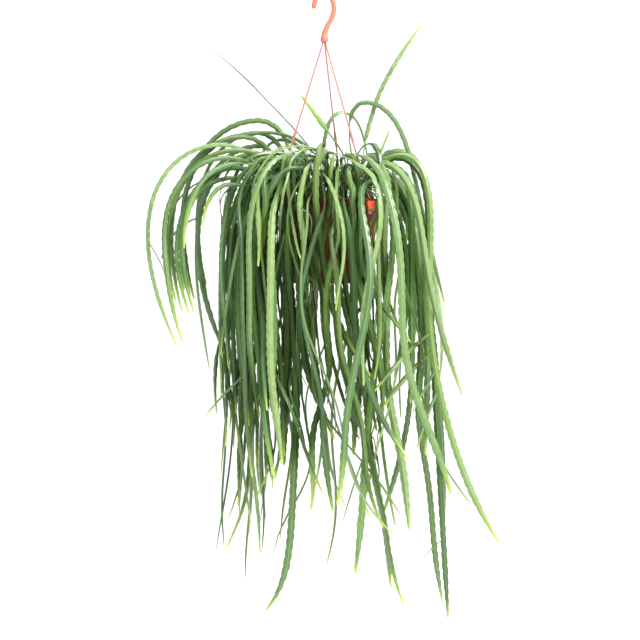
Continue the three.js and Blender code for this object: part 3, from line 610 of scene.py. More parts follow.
    def push_from_view(self, push, head, foot):
        """Stems part in front of the front leg's foot"""
        near = self.beside(head, foot)
        x_way = np.tile([1.0, 0, 0], (len(near), 1))
        beside = self.now[:, 0] - near[:, 0]
        z = self.now[:, 2]
        seen = (z < VIEW_TOP) & (z > RIM_Z - VIEW_BELOW) & (self.now[:, 1] < near[:, 1])
        margin = np.where(z < RIM_Z + VIEW_BELOW / 2, STOP_VIEW, STRAND_VIEW)
        room = self.reach_along(self.here, x_way, THICK, 0) + margin
        short = np.where(seen, np.clip(room - np.abs(beside), 0, VIEW_PUSH), 0) * self.loose
        push[:, 0] += np.where(beside < 0, -1, 1) * short

    def smooth(self):
        """Each shift eases into its neighbours' shifts. A root stays and a branch rides on its parent."""
        shift = self.shift
        smoothed = 0.5 * shift + 0.25 * shift[self.before] + 0.25 * shift[self.after]
        smoothed[self.last] = (shift[self.last] + shift[self.last - 1]) / 2
        smoothed[self.first] = 0
        for stem in self.stems:
            if "parent" in stem:
                on_parent = self.first[stem["parent"]["row"]] + stem["parent_point"]
                smoothed[self.first[stem["row"]]] = shift[on_parent]
        self.shift = smoothed

    def settle(self, passes=PASSES):
        legs = leg_points()
        for turn in range(passes):
            if turn % REFRESH == 0:
                self.aim()
                pairs = self.close_pairs()
            push = np.zeros_like(self.now)
            self.push_stems(pairs, push)
            self.push_from_pot(push)
            for head, foot in legs:
                self.push_off(push, self.beside(head, foot), STRAND_ROOM)
                self.push_off(push, foot - np.array([0, 0, STOP_HEIGHT / 2]), STOP_ROOM)
            self.push_from_view(push, *legs[0])
            self.shift += EASING * push
            self.smooth()
            self.now = self.start + self.shift
        self.aim()
        self.squeeze()

    def squeeze(self):
        """Where stems still crowd, each narrows a little to let the other pass"""
        pairs = self.close_pairs()
        a, b = pairs[:, 0], pairs[:, 1]
        between = self.now[a] - self.now[b]
        best = np.full(len(a), -np.inf)
        for u, counts in self.axes(pairs):
            side = np.abs(dot(between, u))
            flat, square, ahead = (
                [np.abs(dot(way[i], u)) for i in (a, b)] for way in (self.flat, self.square, self.ahead))
            wide = self.half[a] * flat[0] + self.half[b] * flat[1]
            rest = THIN * square[0] + THIN * square[1] + SEGMENT * ahead[0] + SEGMENT * ahead[1]
            fit = np.where(side - rest - CLEAR > wide, 1, (side - rest - CLEAR) / np.maximum(wide, TINY))
            best = np.maximum(best, np.where(counts, fit, -np.inf))
        is_past = self.past(a, b, between, THIN)
        best = np.where(is_past | ~np.isfinite(best), 1, np.clip(best, NARROWEST, 1))
        fit = np.ones(len(self.now))
        np.minimum.at(fit, a, best)
        np.minimum.at(fit, b, best)
        self.fit = np.ones(len(self.now))
        for first, end in zip(self.first, self.last + 1):
            padded = np.pad(fit[first:end], FIT_SPREAD, constant_values=1)
            windows = np.lib.stride_tricks.sliding_window_view(padded, 2 * FIT_SPREAD + 1)
            self.fit[first:end] = windows.min(axis=1)


def plant():
    draw = randoms(SEED)
    stems = [arching_stem(row) for row in ARCHING] + [shoot_stem(row) for row in SHOOTS]
    listed = list(stems)
    for stem in listed:
        stem["is_listed"] = True
    for place, young in YOUNG.items():
        listed[place]["young"] = young
    for place, young in enumerate(SHOOT_YOUNG):
        listed[len(ARCHING) + place]["young"] = young
    stems += [drawn_stem(index, draw) for index in range(STEMS - len(stems))]
    clumps = group_stems(stems, draw)
    plant_clumps(clumps, root_holes())
    branches = [branch_stem(row, listed) for row in BRANCHES]
    for branch in branches:
        clumps[branch["clump"]]["members"].append(branch)
    stems += branches
    for stem in stems:
        dress_stem(stem, draw)
    for stem in stems:
        if "parent" in stem:
            line = stem["parent"]["line"]
            stem["parent_point"] = round_half_up(stem["place"] / stem["parent"]["length"] * (len(line) - 1))
            stem["foot"] = line[stem["parent_point"]]
        stem["line"] = centre_line(stem)
    bundle = Bundle(stems)
    bundle.settle()
    return clumps, bundle


# Fine stems

RING_STEP = 2.0
FEWEST_RINGS = 12
RIDGE_FULL = 2.6
LOBE = 12.5
LOBE_SPREAD = 3
LOBE_HEIGHT = 0.2
LOBE_RISE = 0.4
LOBE_FALL = 0.2
LOBE_RUN = 60
# Cross-section of a stem, in shares of its half width and in millimetres: a flat strap with thin edges
# and a keel along the middle of each side
SECTION = [
    (-1, 0), (-0.82, 0.34), (-0.3, 0.85), (-0.07, 1.65), (0.07, 1.65), (0.3, 0.85), (0.82, 0.34),
    (1, 0), (0.7, -0.42), (0.1, -0.95), (-0.1, -0.95), (-0.7, -0.42),
]
BLUNT = 6
WOODY = 26
WOODY_SWELL = 0.25
END_SHARE = 0.03
THREAD = 3
# How near, how many and how evenly spread a point's neighbours must be for it to take the full painted shade
# inside the plant
AROUND = 36
CROWDED = 70
ONE_SIDED = 1.5
YOUNG_BIAS = 1.6
# Stems that run to the left, away from the key light, take a lower tint and so a deeper green: painted shade
# on that side of the plant
LEFT_WAYS = (130, 218)
LEFT_SHADE_TINT = 0.78

# Thin stems that only the scene has: every third inner one is long and hangs on the dense side, and every
# third side one is longer and hangs at the back
EVERY = 3
INNER_STEMS = 80
INNER_PASSES = 40
DENSE_SIDE = (238, 75)
SIDE_STEMS = 26
LEFT_SIDE = (208, 26)
BACK_SIDE = (152, 26)


def cubic(values, at):
    """Catmull-Rom values between evenly spaced samples"""
    last = len(values) - 1
    place = np.clip(at, 0, last - 1e-9)
    k = np.floor(place).astype(int)
    t = (place - k)[:, None]
    p0, p1 = values[np.maximum(k - 1, 0)], values[k]
    p2, p3 = values[k + 1], values[np.minimum(k + 2, last)]
    return 0.5 * (2 * p1 + (p2 - p0) * t + (2 * p0 - 5 * p1 + 4 * p2 - p3) * t ** 2
                  + (3 * p1 - p0 - 3 * p2 + p3) * t ** 3)


def lobes(along, period, offset):
    """Height of the edge's lobes: each runs straight and drops back at a short notch"""
    share = (along / period + offset) % 1
    rise = np.minimum(1, np.minimum(share / LOBE_RISE, (1 - share) / LOBE_FALL))
    return rise * rise * (3 - 2 * rise)


def painted_shade_crowding(bundle):
    """How deep inside the plant each point lies: how many neighbours it has, and on how many sides. The stem
    material paints shade by it, darker the deeper a point lies.
    """
    pairs = near_pairs(bundle.now, AROUND)
    pairs = pairs[bundle.owner[pairs[:, 0]] != bundle.owner[pairs[:, 1]]]
    a, b = pairs[:, 0], pairs[:, 1]
    way = unit(bundle.now[b] - bundle.now[a])
    size = len(bundle.now)
    count = np.bincount(a, minlength=size) + np.bincount(b, minlength=size)
    total = np.stack([np.bincount(a, way[:, k], size) - np.bincount(b, way[:, k], size) for k in range(3)], 1)
    one_sided = lengths(total) / np.maximum(1, count)
    return np.minimum(1, count / CROWDED) * np.clip(1 - ONE_SIDED * one_sided, 0, 1)


def thin_stem(index, azimuth, root, out, draw, **ranges):
    """A stem whose further measures are drawn one by one between a least value and its spread"""
    angle = math.radians(azimuth)
    stem = {
        "azimuth": azimuth, "root": None, "foot_out": root, "foot_side": 0, "clump": -1 - index,
        "foot": np.array([POT_X + root * math.cos(angle), root * math.sin(angle), SOIL_Z]),
        "out": out, "lean": 0, "late": 2, "young": 0.0, "is_listed": False,
    }
    for name, (least, spread) in ranges.items():
        stem[name] = least + spread * draw()
    return stem


def around(side, draw):
    middle, spread = side
    return middle + spread * (2 * draw() - 1)


def side_stem(index, draw):
    """A thin stem that hangs between the pot and the arches on the left, or longer at the back"""
    is_back = index % EVERY == 0
    root = 30 + 20 * draw()
    azimuth = around(BACK_SIDE if is_back else LEFT_SIDE, draw)
    out = 64 + 44 * draw()
    return thin_stem(
        index, azimuth, root, out, draw, up=(34, 26), reach=(out + 26, 12),
        length=(470 if is_back else 350, 170), drift=(-0.12, 0.24), width=(5, 2), young=(0, 0.6),
    ) | {"ring_step": 3.4}


def inner_stem(index, draw):
    """A thin stem of the crowded inside: most are short and stay in the crown, some hang close to the pot"""
    is_short = index % EVERY != 0
    azimuth = index * GOLDEN % 360 if is_short else around(DENSE_SIDE, draw)
    root = 4 + 46 * draw()
    out = root + 10 + 18 * draw() if is_short else 50 + 14 * draw()
    return thin_stem(
        index, azimuth, root, out, draw, up=(20, 36), reach=(out + 26, 10),
        length=(80, 60) if is_short else (220, 300), drift=(-0.1, 0.2), width=(4.2, 2.2),
    ) | {"ring_step": 3.0}


def thicken(bundle):
    """The same stems, unmoved, with thin inner stems settled between them"""
    size = len(bundle.now)
    draw = randoms(SEED + 2)
    inner = [inner_stem(index, draw) for index in range(INNER_STEMS)]
    inner += [side_stem(INNER_STEMS + index, draw) for index in range(SIDE_STEMS)]
    for stem in inner:
        dress_stem(stem, draw)
        stem["line"] = centre_line(stem)
    for place, stem in enumerate(bundle.stems):
        stem["line"] = bundle.now[bundle.first[place]:bundle.last[place] + 1]
    both = Bundle(bundle.stems + inner)
    both.loose[:size] = 0
    both.settle(INNER_PASSES)
    both.fit[:size] = bundle.fit
    return both, inner


def stem_mesh(bundle, stem, draw):
    """Vertices, faces and per-vertex facts of one stem, in millimetres"""
    own = slice(bundle.first[stem["row"]], bundle.last[stem["row"]] + 1)
    line, fit = bundle.now[own], bundle.fit[own]
    length = stem["length"]
    count = max(FEWEST_RINGS, int(length / stem.get("ring_step", RING_STEP)))
    at = np.linspace(0, len(line) - 1, count + 1)
    point = cubic(line, at)
    ahead = unit(np.gradient(point, axis=0))
    across = cubic(bundle.flat[own], at)
    across = unit(across - ahead * np.sum(across * ahead, axis=1)[:, None])
    square = np.cross(ahead, across)
    along = np.linspace(0, length, count + 1)
    from_tip = length - along
    half = stem["width"] / 2 * np.minimum(1, ROOT_SHARE + along / ROOT_RUN)
    half *= np.minimum(1, TIP_SHARE + from_tip / TIP_RUN) * np.interp(at, np.arange(len(fit)), fit)
    closing = np.clip(from_tip / BLUNT, 0, 1)
    half *= np.sqrt(1 - (1 - closing) ** 2) * (1 - END_SHARE) + END_SHARE
    period = LOBE + LOBE_SPREAD * (draw() - 0.5)
    offset = draw()
    depth = LOBE_HEIGHT * np.clip(along / LOBE_RUN, 0, 1)
    left, right = (1 - depth * (1 - lobes(along, period, offset + turn)) for turn in (0, 0.5))
    thick = np.minimum(1, half / RIDGE_FULL) * (1 + WOODY_SWELL * np.clip(1 - along / WOODY, 0, 1))
    corners = []
    for share, height in SECTION:
        side = (left if share < 0 else right) if abs(share) == 1 else 1
        corners.append(point + across * (share * half * side)[:, None] + square * (height * thick)[:, None])
    sides = len(SECTION)
    vertices = np.stack(corners, 1).reshape(-1, 3)
    ring, corner = np.arange(count)[:, None] * sides, np.arange(sides)
    a, b = ring + corner, ring + (corner + 1) % sides
    faces = np.stack([a, a + sides, b + sides, b], 2).reshape(-1, 4)
    is_left = LEFT_WAYS[0] < stem["azimuth"] % 360 < LEFT_WAYS[1]
    # How crowded each ring is, which the stem material paints as shade
    inner = np.interp(at, np.arange(len(line)), bundle.inner[own])
    facts = {
        "stem_across": np.tile([share for share, _ in SECTION], count + 1),
        "stem_along": np.repeat(along + (WOODY * 2 if "parent" in stem else 0), sides),
        "stem_from_tip": np.repeat(from_tip, sides),
        "stem_painted_shade": np.repeat(inner, sides),
        # Stems that run to the left get a lower tint as painted shade
        "stem_tint": np.full(len(vertices), draw() * (LEFT_SHADE_TINT if is_left else 1)),
        "stem_young": np.full(len(vertices), stem.get("young", draw() ** YOUNG_BIAS)),
        "stem_dry": np.full(len(vertices), float(stem["width"] < THREAD)),
        "stem_notch": np.stack([left if share < 0 else right for share, _ in SECTION], 1).reshape(-1),
    }
    return vertices, faces, facts


def show(name, mesh):
    """An object in the scene for a finished mesh"""
    piece = bpy.data.objects.new(name, mesh)
    bpy.context.scene.collection.objects.link(piece)
    return piece


def clump_object(name, bundle, stems, draw):
    """One clump's stems in one object"""
    vertices, faces, facts = [], [], {}
    sides = range(len(SECTION))
    start = 0
    caps = []
    for stem in stems:
        points, quads, known = stem_mesh(bundle, stem, draw)
        vertices.append(points)
        faces.extend((quads + start).tolist())
        caps.append([start + k for k in sides])
        start += len(points)
        caps.append([start - 1 - k for k in sides])
        for key, values in known.items():
            facts.setdefault(key, []).append(values)
    mesh = bpy.data.meshes.new(name)
    mesh.from_pydata((np.concatenate(vertices) * MM).tolist(), [], faces + caps)
    for key, values in facts.items():
        attribute = mesh.attributes.new(key, "FLOAT", "POINT")
        attribute.data.foreach_set("value", np.concatenate(values).astype(np.float32))
    mesh.validate()
    mesh.shade_smooth()
    mesh.update()
    return show(name, mesh)


# Materials

# How far below its top a stop block begins to turn olive brown, and where it is olive brown all over
OLIVE_DROPS = (8.0, 11.5)


class Shader:
    """A node material built by short calls, its colour painted on in layers"""

    def __init__(self, name, color):
        self.material = bpy.data.materials.new(name)
        self.material.use_nodes = True
        self.tree = self.material.node_tree
        self.surface = self.tree.nodes["Principled BSDF"]
        self.color = color
        self.set("Base Color", color)

    def node(self, kind, **settings):
        made = self.tree.nodes.new(kind)
        for key, value in settings.items():
            setattr(made, key, value)
        return made

    def put(self, socket, value):
        if hasattr(value, "is_linked"):
            self.tree.links.new(value, socket)
        else:
            socket.default_value = value

    def set(self, name, value):
        self.put(self.surface.inputs[name], value)

    def fact(self, name):
        return self.node("ShaderNodeAttribute", attribute_name=name).outputs["Fac"]

    def maths(self, operation, first, second=0.0):
        made = self.node("ShaderNodeMath", operation=operation)
        self.put(made.inputs[0], first)
        self.put(made.inputs[1], second)
        return made.outputs[0]

    def band(self, value, low, high, start=0.0, end=1.0):
        """Eases from start to end as the value goes from low to high"""
        made = self.node("ShaderNodeMapRange", interpolation_type="SMOOTHSTEP")
        for socket, given in zip(made.inputs, (value, low, high, start, end)):
            self.put(socket, given)
        return made.outputs["Result"]

    def layer(self, share, tone):
        """A hex tone laid over the colour so far"""
        made = self.node("ShaderNodeMix", data_type="RGBA")
        for socket, given in ((0, share), (6, self.color), (7, rgb(tone))):
            self.put(made.inputs[socket], given)
        self.color = made.outputs[2]
        self.set("Base Color", self.color)

    def noise(self, scale, detail=2.0, stretch=(1, 1, 1)):
        mapping = self.node("ShaderNodeMapping")
        self.put(mapping.inputs["Vector"], self.node("ShaderNodeTexCoord").outputs["Object"])
        self.put(mapping.inputs["Scale"], stretch)
        made = self.node("ShaderNodeTexNoise")
        self.put(made.inputs["Vector"], mapping.outputs["Vector"])
        self.put(made.inputs["Scale"], scale)
        self.put(made.inputs["Detail"], detail)
        return made.outputs["Fac"]

    def glow(self, weight, radius):
        self.set("Subsurface Weight", weight)
        self.set("Subsurface Radius", radius)
        self.set("Subsurface Scale", 1.0)

    def bump(self, height, distance, strength=1.0):
        made = self.node("ShaderNodeBump")
        self.put(made.inputs["Distance"], distance)
        self.put(made.inputs["Strength"], strength)
        self.put(made.inputs["Height"], height)
        self.set("Normal", made.outputs["Normal"])


def rgb(text):
    """Linear colour from an sRGB hex text"""
    parts = [int(text[k:k + 2], 16) / 255 for k in (0, 2, 4)]
    return tuple(v / 12.92 if v < 0.04045 else ((v + 0.055) / 1.055) ** 2.4 for v in parts) + (1.0,)


def stem_material(name, deep, middle, pale):
    """Tones that vary along and between stems, with a painted highlight along the keel, painted shade at the
    thin edges and deep inside the plant, a dry foot and a yellow-green tip
    """
    shader = Shader(name, rgb(deep))
    across = shader.maths("ABSOLUTE", shader.fact("stem_across"))
    tint, inner = shader.fact("stem_tint"), shader.fact("stem_painted_shade")
    mottle = shader.noise(160, 4)
    tone = shader.maths(
        "ADD", shader.maths("MULTIPLY", shader.noise(9, 3), 0.7), shader.maths("MULTIPLY", tint, 0.55))
    hue = shader.maths("FRACT", shader.maths("MULTIPLY", tint, 7.3))
    pace = shader.maths("SUBTRACT", 2.6, shader.maths("MULTIPLY", shader.fact("stem_young"), 1.9))
    tip_run = shader.maths("MULTIPLY", shader.fact("stem_from_tip"), pace)
    is_notch = shader.band(shader.fact("stem_notch"), 0.93, 0.83, 0, 0.6)
    shader.layer(shader.band(tone, 0.32, 0.9), middle)
    shader.layer(shader.band(shader.maths("ADD", tint, mottle), 0.95, 1.5, 0, 0.5), pale)
    shader.layer(shader.band(hue, 0.55, 1.0, 0, 0.4), "6a8038")
    shader.layer(shader.band(hue, 0.4, 0.0, 0, 0.3), "4c6f4c")
    # Painted light across the strap: paler along the keel as a painted highlight, deeper towards the thin
    # edges as painted shade
    shader.layer(shader.band(across, 0.3, 0.0, 0, 0.22), pale)
    shader.layer(shader.band(across, 0.72, 1.0, 0, 0.35), deep)
    shader.layer(shader.band(tip_run, 70, 10, 0, 0.75), "86a03e")
    shader.layer(shader.band(tip_run, 24, 4, 0, 0.75), "a2b350")
    shader.layer(shader.maths("MULTIPLY", shader.band(across, 0.85, 0.99), is_notch), "5f5636")
    shader.layer(shader.band(shader.fact("stem_along"), 42, 4, 0, 0.85), "6f6248")
    shader.layer(shader.fact("stem_dry"), "55564c")
    # Painted shade: stems deep in the crowd darken to a near-black green
    shader.layer(shader.band(inner, 0.25, 0.85, 0, 0.74), "1d3310")
    shader.set("Roughness", shader.band(mottle, 0.3, 0.7, 0.3, 0.42))
    shader.glow(0.1, (0.003, 0.005, 0.001))
    # Less specular on stems deep in the crowd, along with their painted shade
    shader.set("Specular IOR Level", shader.band(inner, 0.2, 0.6, 0.55, 0.12))
    shader.set("Coat Weight", 0.05)
    shader.set("Coat Roughness", 0.3)
    shader.bump(shader.noise(420, 3), 0.0002, 0.5)
    return shader.material


def plastic(name, color, shade, rough, glow=0.0):
    shader = Shader(name, rgb(color))
    fine = shader.noise(700, 2)
    shader.layer(shader.band(shader.noise(26, 3), 0.3, 0.75, 0.0, 0.6), shade)
    shader.set("Roughness", shader.band(fine, 0.3, 0.7, rough - 0.06, rough + 0.08))
    shader.glow(glow, (0.004, 0.002, 0.001))
    shader.bump(fine, 0.0001, 0.4)
    return shader.material


def pot_material():
    shader = Shader("pot_plastic", rgb("621f16"))
    streak = shader.noise(60, 3, (1, 1, 0.12))
    shader.layer(shader.band(shader.noise(18, 4), 0.35, 0.75), "74281d")
    shader.layer(shader.band(streak, 0.56, 0.75, 0, 0.3), "7c3a2a")
    shader.set("Roughness", shader.band(streak, 0.3, 0.7, 0.5, 0.66))
    shader.set("Specular IOR Level", 0.25)
    shader.bump(shader.noise(600, 2), 0.0001, 0.5)
    return shader.material


def stop_material():
    """Orange moulded plastic whose lower part turns olive brown"""
    shader = Shader("stop_plastic", rgb("ff5a2c"))
    place = shader.node("ShaderNodeSeparateXYZ")
    shader.put(place.inputs[0], shader.node("ShaderNodeTexCoord").outputs["Object"])
    olive_from, olive_full = ((STOP_TOP - drop) * MM for drop in OLIVE_DROPS)
    shader.layer(shader.band(shader.noise(26, 3), 0.3, 0.75, 0.0, 0.6), "f04a22")
    # Olive brown towards the bottom of the block
    shader.layer(shader.band(place.outputs["Z"], olive_from, olive_full, 0, 0.85), "6e6a40")
    shader.set("Roughness", 0.42)
    return shader.material


def soil_material():
    shader = Shader("potting_soil", rgb("241a12"))
    grain = shader.noise(520, 5)
    shader.layer(shader.band(shader.noise(60, 5), 0.35, 0.65), "4a3827")
    shader.layer(shader.band(grain, 0.62, 0.72, 0, 0.6), "7a6248")
    shader.set("Roughness", 0.95)
    shader.bump(grain, 0.001, 0.9)
    return shader.material


# Turned and swept pieces

BEVEL_STEPS = 4


def mesh_object(name, vertices, faces):
    mesh = bpy.data.meshes.new(name)
    mesh.from_pydata([tuple(vertex) for vertex in vertices], [], faces)
    mesh.validate()
    mesh.shade_smooth()
    return show(name, mesh)


def worked_mesh(name, work):
    mesh = bpy.data.meshes.new(name)
    work.to_mesh(mesh)
    work.free()
    return mesh


def turns(count):
    """Cosine and sine of evenly spaced directions"""
    angles = [2 * math.pi * k / count for k in range(count)]
    return [(math.cos(angle), math.sin(angle)) for angle in angles]


def circle(radius, z, sides, center=(0, 0)):
    """Points in metres round a circle in millimetres"""
    x, y = center
    return [((x + radius * cos) * MM, (y + radius * sin) * MM, z * MM) for cos, sin in turns(sides)]


def skin(rows):
    """Faces between rows of points that follow one another. A row of one point closes."""
    faces = []
    for low, high in zip(rows, rows[1:]):
        sides = max(len(low), len(high))
        for k in range(sides):
            n = (k + 1) % sides
            ends = [low[k % len(low)], low[n % len(low)], high[n % len(high)], high[k % len(high)]]
            faces.append(tuple(dict.fromkeys(ends)))
    return faces


def lathe(name, profile, segments, center=(0, 0)):
    """Turned about Z from (radius, z) in millimetres. A radius of 0 closes on the axis."""
    vertices, rows = [], []
    for radius, z in profile:
        ring = circle(radius, z, segments if radius else 1, center)
        rows.append(range(len(vertices), len(vertices) + len(ring)))
        vertices += ring
    return mesh_object(name, vertices, skin(rows))


def tube(name, points, radii, sides):
    """Round tube along points in millimetres, with its ends closed"""
    points = np.asarray(points, float)
    across = np.array([0.0, 1.0, 0.0])
    vertices, rows = [], []
    for point, way, radius in zip(points, unit(np.gradient(points, axis=0)), radii):
        across = across - way * np.dot(across, way)
        across = across / np.linalg.norm(across)
        square = np.cross(way, across)
        rows.append(range(len(vertices), len(vertices) + sides))
        vertices += [(point + radius * (across * cos + square * sin)) * MM for cos, sin in turns(sides)]
    return mesh_object(name, vertices, skin(rows) + [tuple(rows[0][::-1]), tuple(rows[-1])])


def rounded_block(name, center, size, turn, bevel):
    """A block with rounded edges, turned about Z by an angle in degrees"""
    work = bmesh.new()
    bmesh.ops.create_cube(work, size=1)
    for vertex in work.verts:
        vertex.co = [vertex.co[axis] * size[axis] * MM for axis in range(3)]
    bmesh.ops.bevel(
        work, geom=work.edges[:], offset=bevel * MM, segments=BEVEL_STEPS, profile=0.5, affect="EDGES")
    cos, sin = math.cos(math.radians(turn)), math.sin(math.radians(turn))
    for vertex in work.verts:
        x, y, z = vertex.co
        x, y = x * cos - y * sin, x * sin + y * cos
        vertex.co = (x + center[0] * MM, y + center[1] * MM, z + center[2] * MM)
    return show(name, worked_mesh(name, work))


def subtract(piece, cutters):
    for cutter in cutters:
        modifier = piece.modifiers.new("cut", "BOOLEAN")
        modifier.operation, modifier.solver, modifier.object = "DIFFERENCE", "EXACT", cutter
    cut = piece.evaluated_get(bpy.context.evaluated_depsgraph_get())
    mesh = bpy.data.meshes.new_from_object(cut)
    piece.modifiers.clear()
    piece.data = mesh
    mesh.shade_smooth()
    for cutter in cutters:
        bpy.data.objects.remove(cutter)


def finish_piece(piece, material, slot, *nodes):
    piece.data.materials.clear()
    piece.data.materials.append(material)
    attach(piece, "root")
    if nodes:
        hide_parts(*nodes)


def join(name, pieces):
    """One object from several"""
    vertices, faces = [], []
    for piece in pieces:
        start = len(vertices)
        vertices.extend(tuple(vertex.co) for vertex in piece.data.vertices)
        faces.extend(tuple(start + k for k in face.vertices) for face in piece.data.polygons)
        bpy.data.objects.remove(piece)
    return mesh_object(name, vertices, faces)


# Hanger

# The hook's middle line is (x, z), and its bulb (x, z, radius)
HOOK_ROD = 3.25
HOOK_CROWN = [
    (-13.3, -14.3), (-10.6, -4.4), (0, HOOK_ROD), (9.6, -4.4),
    (12.7, -17.5), (9.4, -30), (3.4, -41), (0.4, -50),
]
HOOK_NECK = [(-50, 3.9), (-42, 3.45), (-36, HOOK_ROD)]
BULB = [(0.3, -52, 3.9), (0.2, -54, 4.7), (0.1, -56.5, 5.2), (0, -58.5, 5.0), (0, -60, 4.3), (0, -60.9, 3.2)]
NOSE_ANGLES = (84, 66, 48, 30, 15)
HOOK_POINTS = 90
CURVE_STEPS = 24
HOOK_SIDES = 28

STRAND = 1.05
STRAND_SIDES = 14
STRAND_POINTS = 40
STRAND_RUN = 1.01
STRAND_LIFT = 1.2
BEAD = 0.75
BEAD_PLACE = 0.6
BEAD_RUN = 0.045
STOP_OUT = 0.8
STOP_SIZE = (7, 12, STOP_HEIGHT)
STOP_BEVEL = 1.8
LIP_SIZE = (4.2, 9, 4.6)
LIP_BEVEL = 1.0
LIP_DROP = 8.1


def centripetal(points, count):
    """Evenly placed points on a centripetal Catmull-Rom curve"""
    points = [np.array((x, 0, z), float) for x, z in points]
    points = [2 * points[0] - points[1]] + points + [2 * points[-1] - points[-2]]
    fine = []
    for k in range(1, len(points) - 2):
        a, b, c, d = points[k - 1:k + 3]
        ab, bc, cd = (np.linalg.norm(q - p) ** 0.5 for p, q in ((a, b), (b, c), (c, d)))
        start = ((b - a) / ab - (c - a) / (ab + bc) + (c - b) / bc) * bc
        end = ((c - b) / bc - (d - b) / (bc + cd) + (d - c) / cd) * bc
        for t in np.linspace(0, 1, CURVE_STEPS, endpoint=False):
            fine.append(b * (2 * t ** 3 - 3 * t ** 2 + 1) + start * (t ** 3 - 2 * t ** 2 + t)
                        + c * (3 * t ** 2 - 2 * t ** 3) + end * (t ** 3 - t ** 2))
    fine = np.array(fine + [points[-2]])
    run = np.concatenate([[0], np.cumsum(lengths(np.diff(fine, axis=0)))])
    at = np.linspace(0, run[-1], count)
    return np.stack([np.interp(at, run, fine[:, axis]) for axis in range(3)], 1)


def make_hook(material):
    line = centripetal(HOOK_CROWN, HOOK_POINTS)
    ahead = unit(np.gradient(line, axis=0))
    points = [line[0] - ahead[0] * HOOK_ROD * math.sin(a) for a in np.radians(NOSE_ANGLES)]
    radii = [HOOK_ROD * math.cos(a) for a in np.radians(NOSE_ANGLES)]
    is_stem = np.arange(len(line)) > len(line) / 2
    points += list(line) + [np.array((x, 0, z)) for x, z, _ in BULB]
    radii += list(np.interp(line[:, 2] * is_stem, *zip(*HOOK_NECK))) + [radius for _, _, radius in BULB]
    finish_piece(tube("hanger_hook", points, radii, HOOK_SIDES), material, "hanger", "hook")


def make_leg(leg, head, foot, strand_material, block_material):
    run = np.linspace(0, STRAND_RUN, STRAND_POINTS)
    points = head + (foot - head) * run[:, None]
    points[0][2] += STRAND_LIFT
    radii = STRAND + BEAD * np.exp(-((run - BEAD_PLACE) / BEAD_RUN) ** 4)
    strand = tube(f"hanger_strand_{leg + 1}", points, radii, STRAND_SIDES)
    finish_piece(strand, strand_material, "hanger_leg", f"hanger_leg_{leg + 1}")
    turn = FIRST_LEG + leg * 360 / LEGS
    out = np.array([math.cos(math.radians(turn)), math.sin(math.radians(turn)), 0])
    center = np.array([foot[0], foot[1], STOP_TOP - STOP_HEIGHT / 2]) + STOP_OUT * out
    block = rounded_block("block", center, STOP_SIZE, turn, STOP_BEVEL)
    lip = rounded_block("lip", center - np.array([0, 0, LIP_DROP]), LIP_SIZE, turn, LIP_BEVEL)
    finish_piece(join(f"hanger_stop_{leg + 1}", [block, lip]), block_material, "hanger_leg")


# Pot and soil

# The pot's underside is (radius, height over its base)
POT_FOOT = [(0, 2.5), (30, 2.5), (40, 1.2), (44, 0), (50, 0), (51.4, 0.5), (52, 2)]
POT_SIDES = 144
DRAINS = 5
DRAIN_RADIUS = 4
DRAIN_CIRCLE = 32

SOIL_INSET = 2.6
SOIL_SUNK = 0.6
SOIL_RINGS = 40
SOIL_SIDES = 120
SOIL_EASE = 6
# Each lump is (height, pace, layer of the noise)
LUMPS = [(1.6, 0.09, 0), (1.1, 0.35, 9)]
CRUMBS = 520
CRUMB_INSET = 2.5
CRUMB_RISE = 0.1
CRUMB_SIZE = (0.7, 1.7)
CRUMB_FLAT = 0.7


def make_pot(material):
    base = RIM_Z - POT_HEIGHT
    profile = [(radius, base + z) for radius, z in POT_FOOT]
    profile += [(wall_radius(z), z) for z in np.linspace(base + 8, RIM_Z - 12, 14)]
    profile += [(wall_radius(RIM_Z - drop) + swell, RIM_Z - drop) for drop, swell in ((8, 0.1), (4, 0.6))]
    profile += [(radius, RIM_Z + z) for radius, z in (
        (wall_radius(RIM_Z) + 1.6, -2.8), (RIM_RADIUS - 2.5, -RIM_THICKNESS),
        (RIM_RADIUS - 0.6, 0.1 - RIM_THICKNESS), (RIM_RADIUS, -1.6), (RIM_RADIUS, -0.7),
        (RIM_RADIUS - 0.7, 0), (WALL_TOP_RADIUS + 0.4, 0),
        (WALL_TOP_RADIUS - 1.2, -0.5), (WALL_TOP_RADIUS - WALL, -1.6),
    )]
    profile += [(wall_radius(z) - WALL, z) for z in np.linspace(RIM_Z - 14, base + 8, 8)]
    profile += [(BASE_RADIUS - 2.2, base + 4.6), (BASE_RADIUS - 4.5, base + 3.5), (0, base + 3.5)]
    pot = lathe("hanging_pot", profile, POT_SIDES, (POT_X, 0))
    drains = [(POT_X + DRAIN_CIRCLE * cos, DRAIN_CIRCLE * sin) for cos, sin in turns(DRAINS)]
    cutters = [plug(DRAIN_RADIUS, base - 4, base + 8, 32, center) for center in drains]
    cutters += [plug(LEG_HOLE, RIM_Z - 5, RIM_Z + 3, 24, foot[:2]) for _, foot in leg_points()]
    subtract(pot, cutters)
    finish_piece(pot, material, "pot", "pot")


def plug(radius, low, high, sides, center):
    return lathe("plug", [(0, low), (radius, low), (radius, high), (0, high)], sides, center)


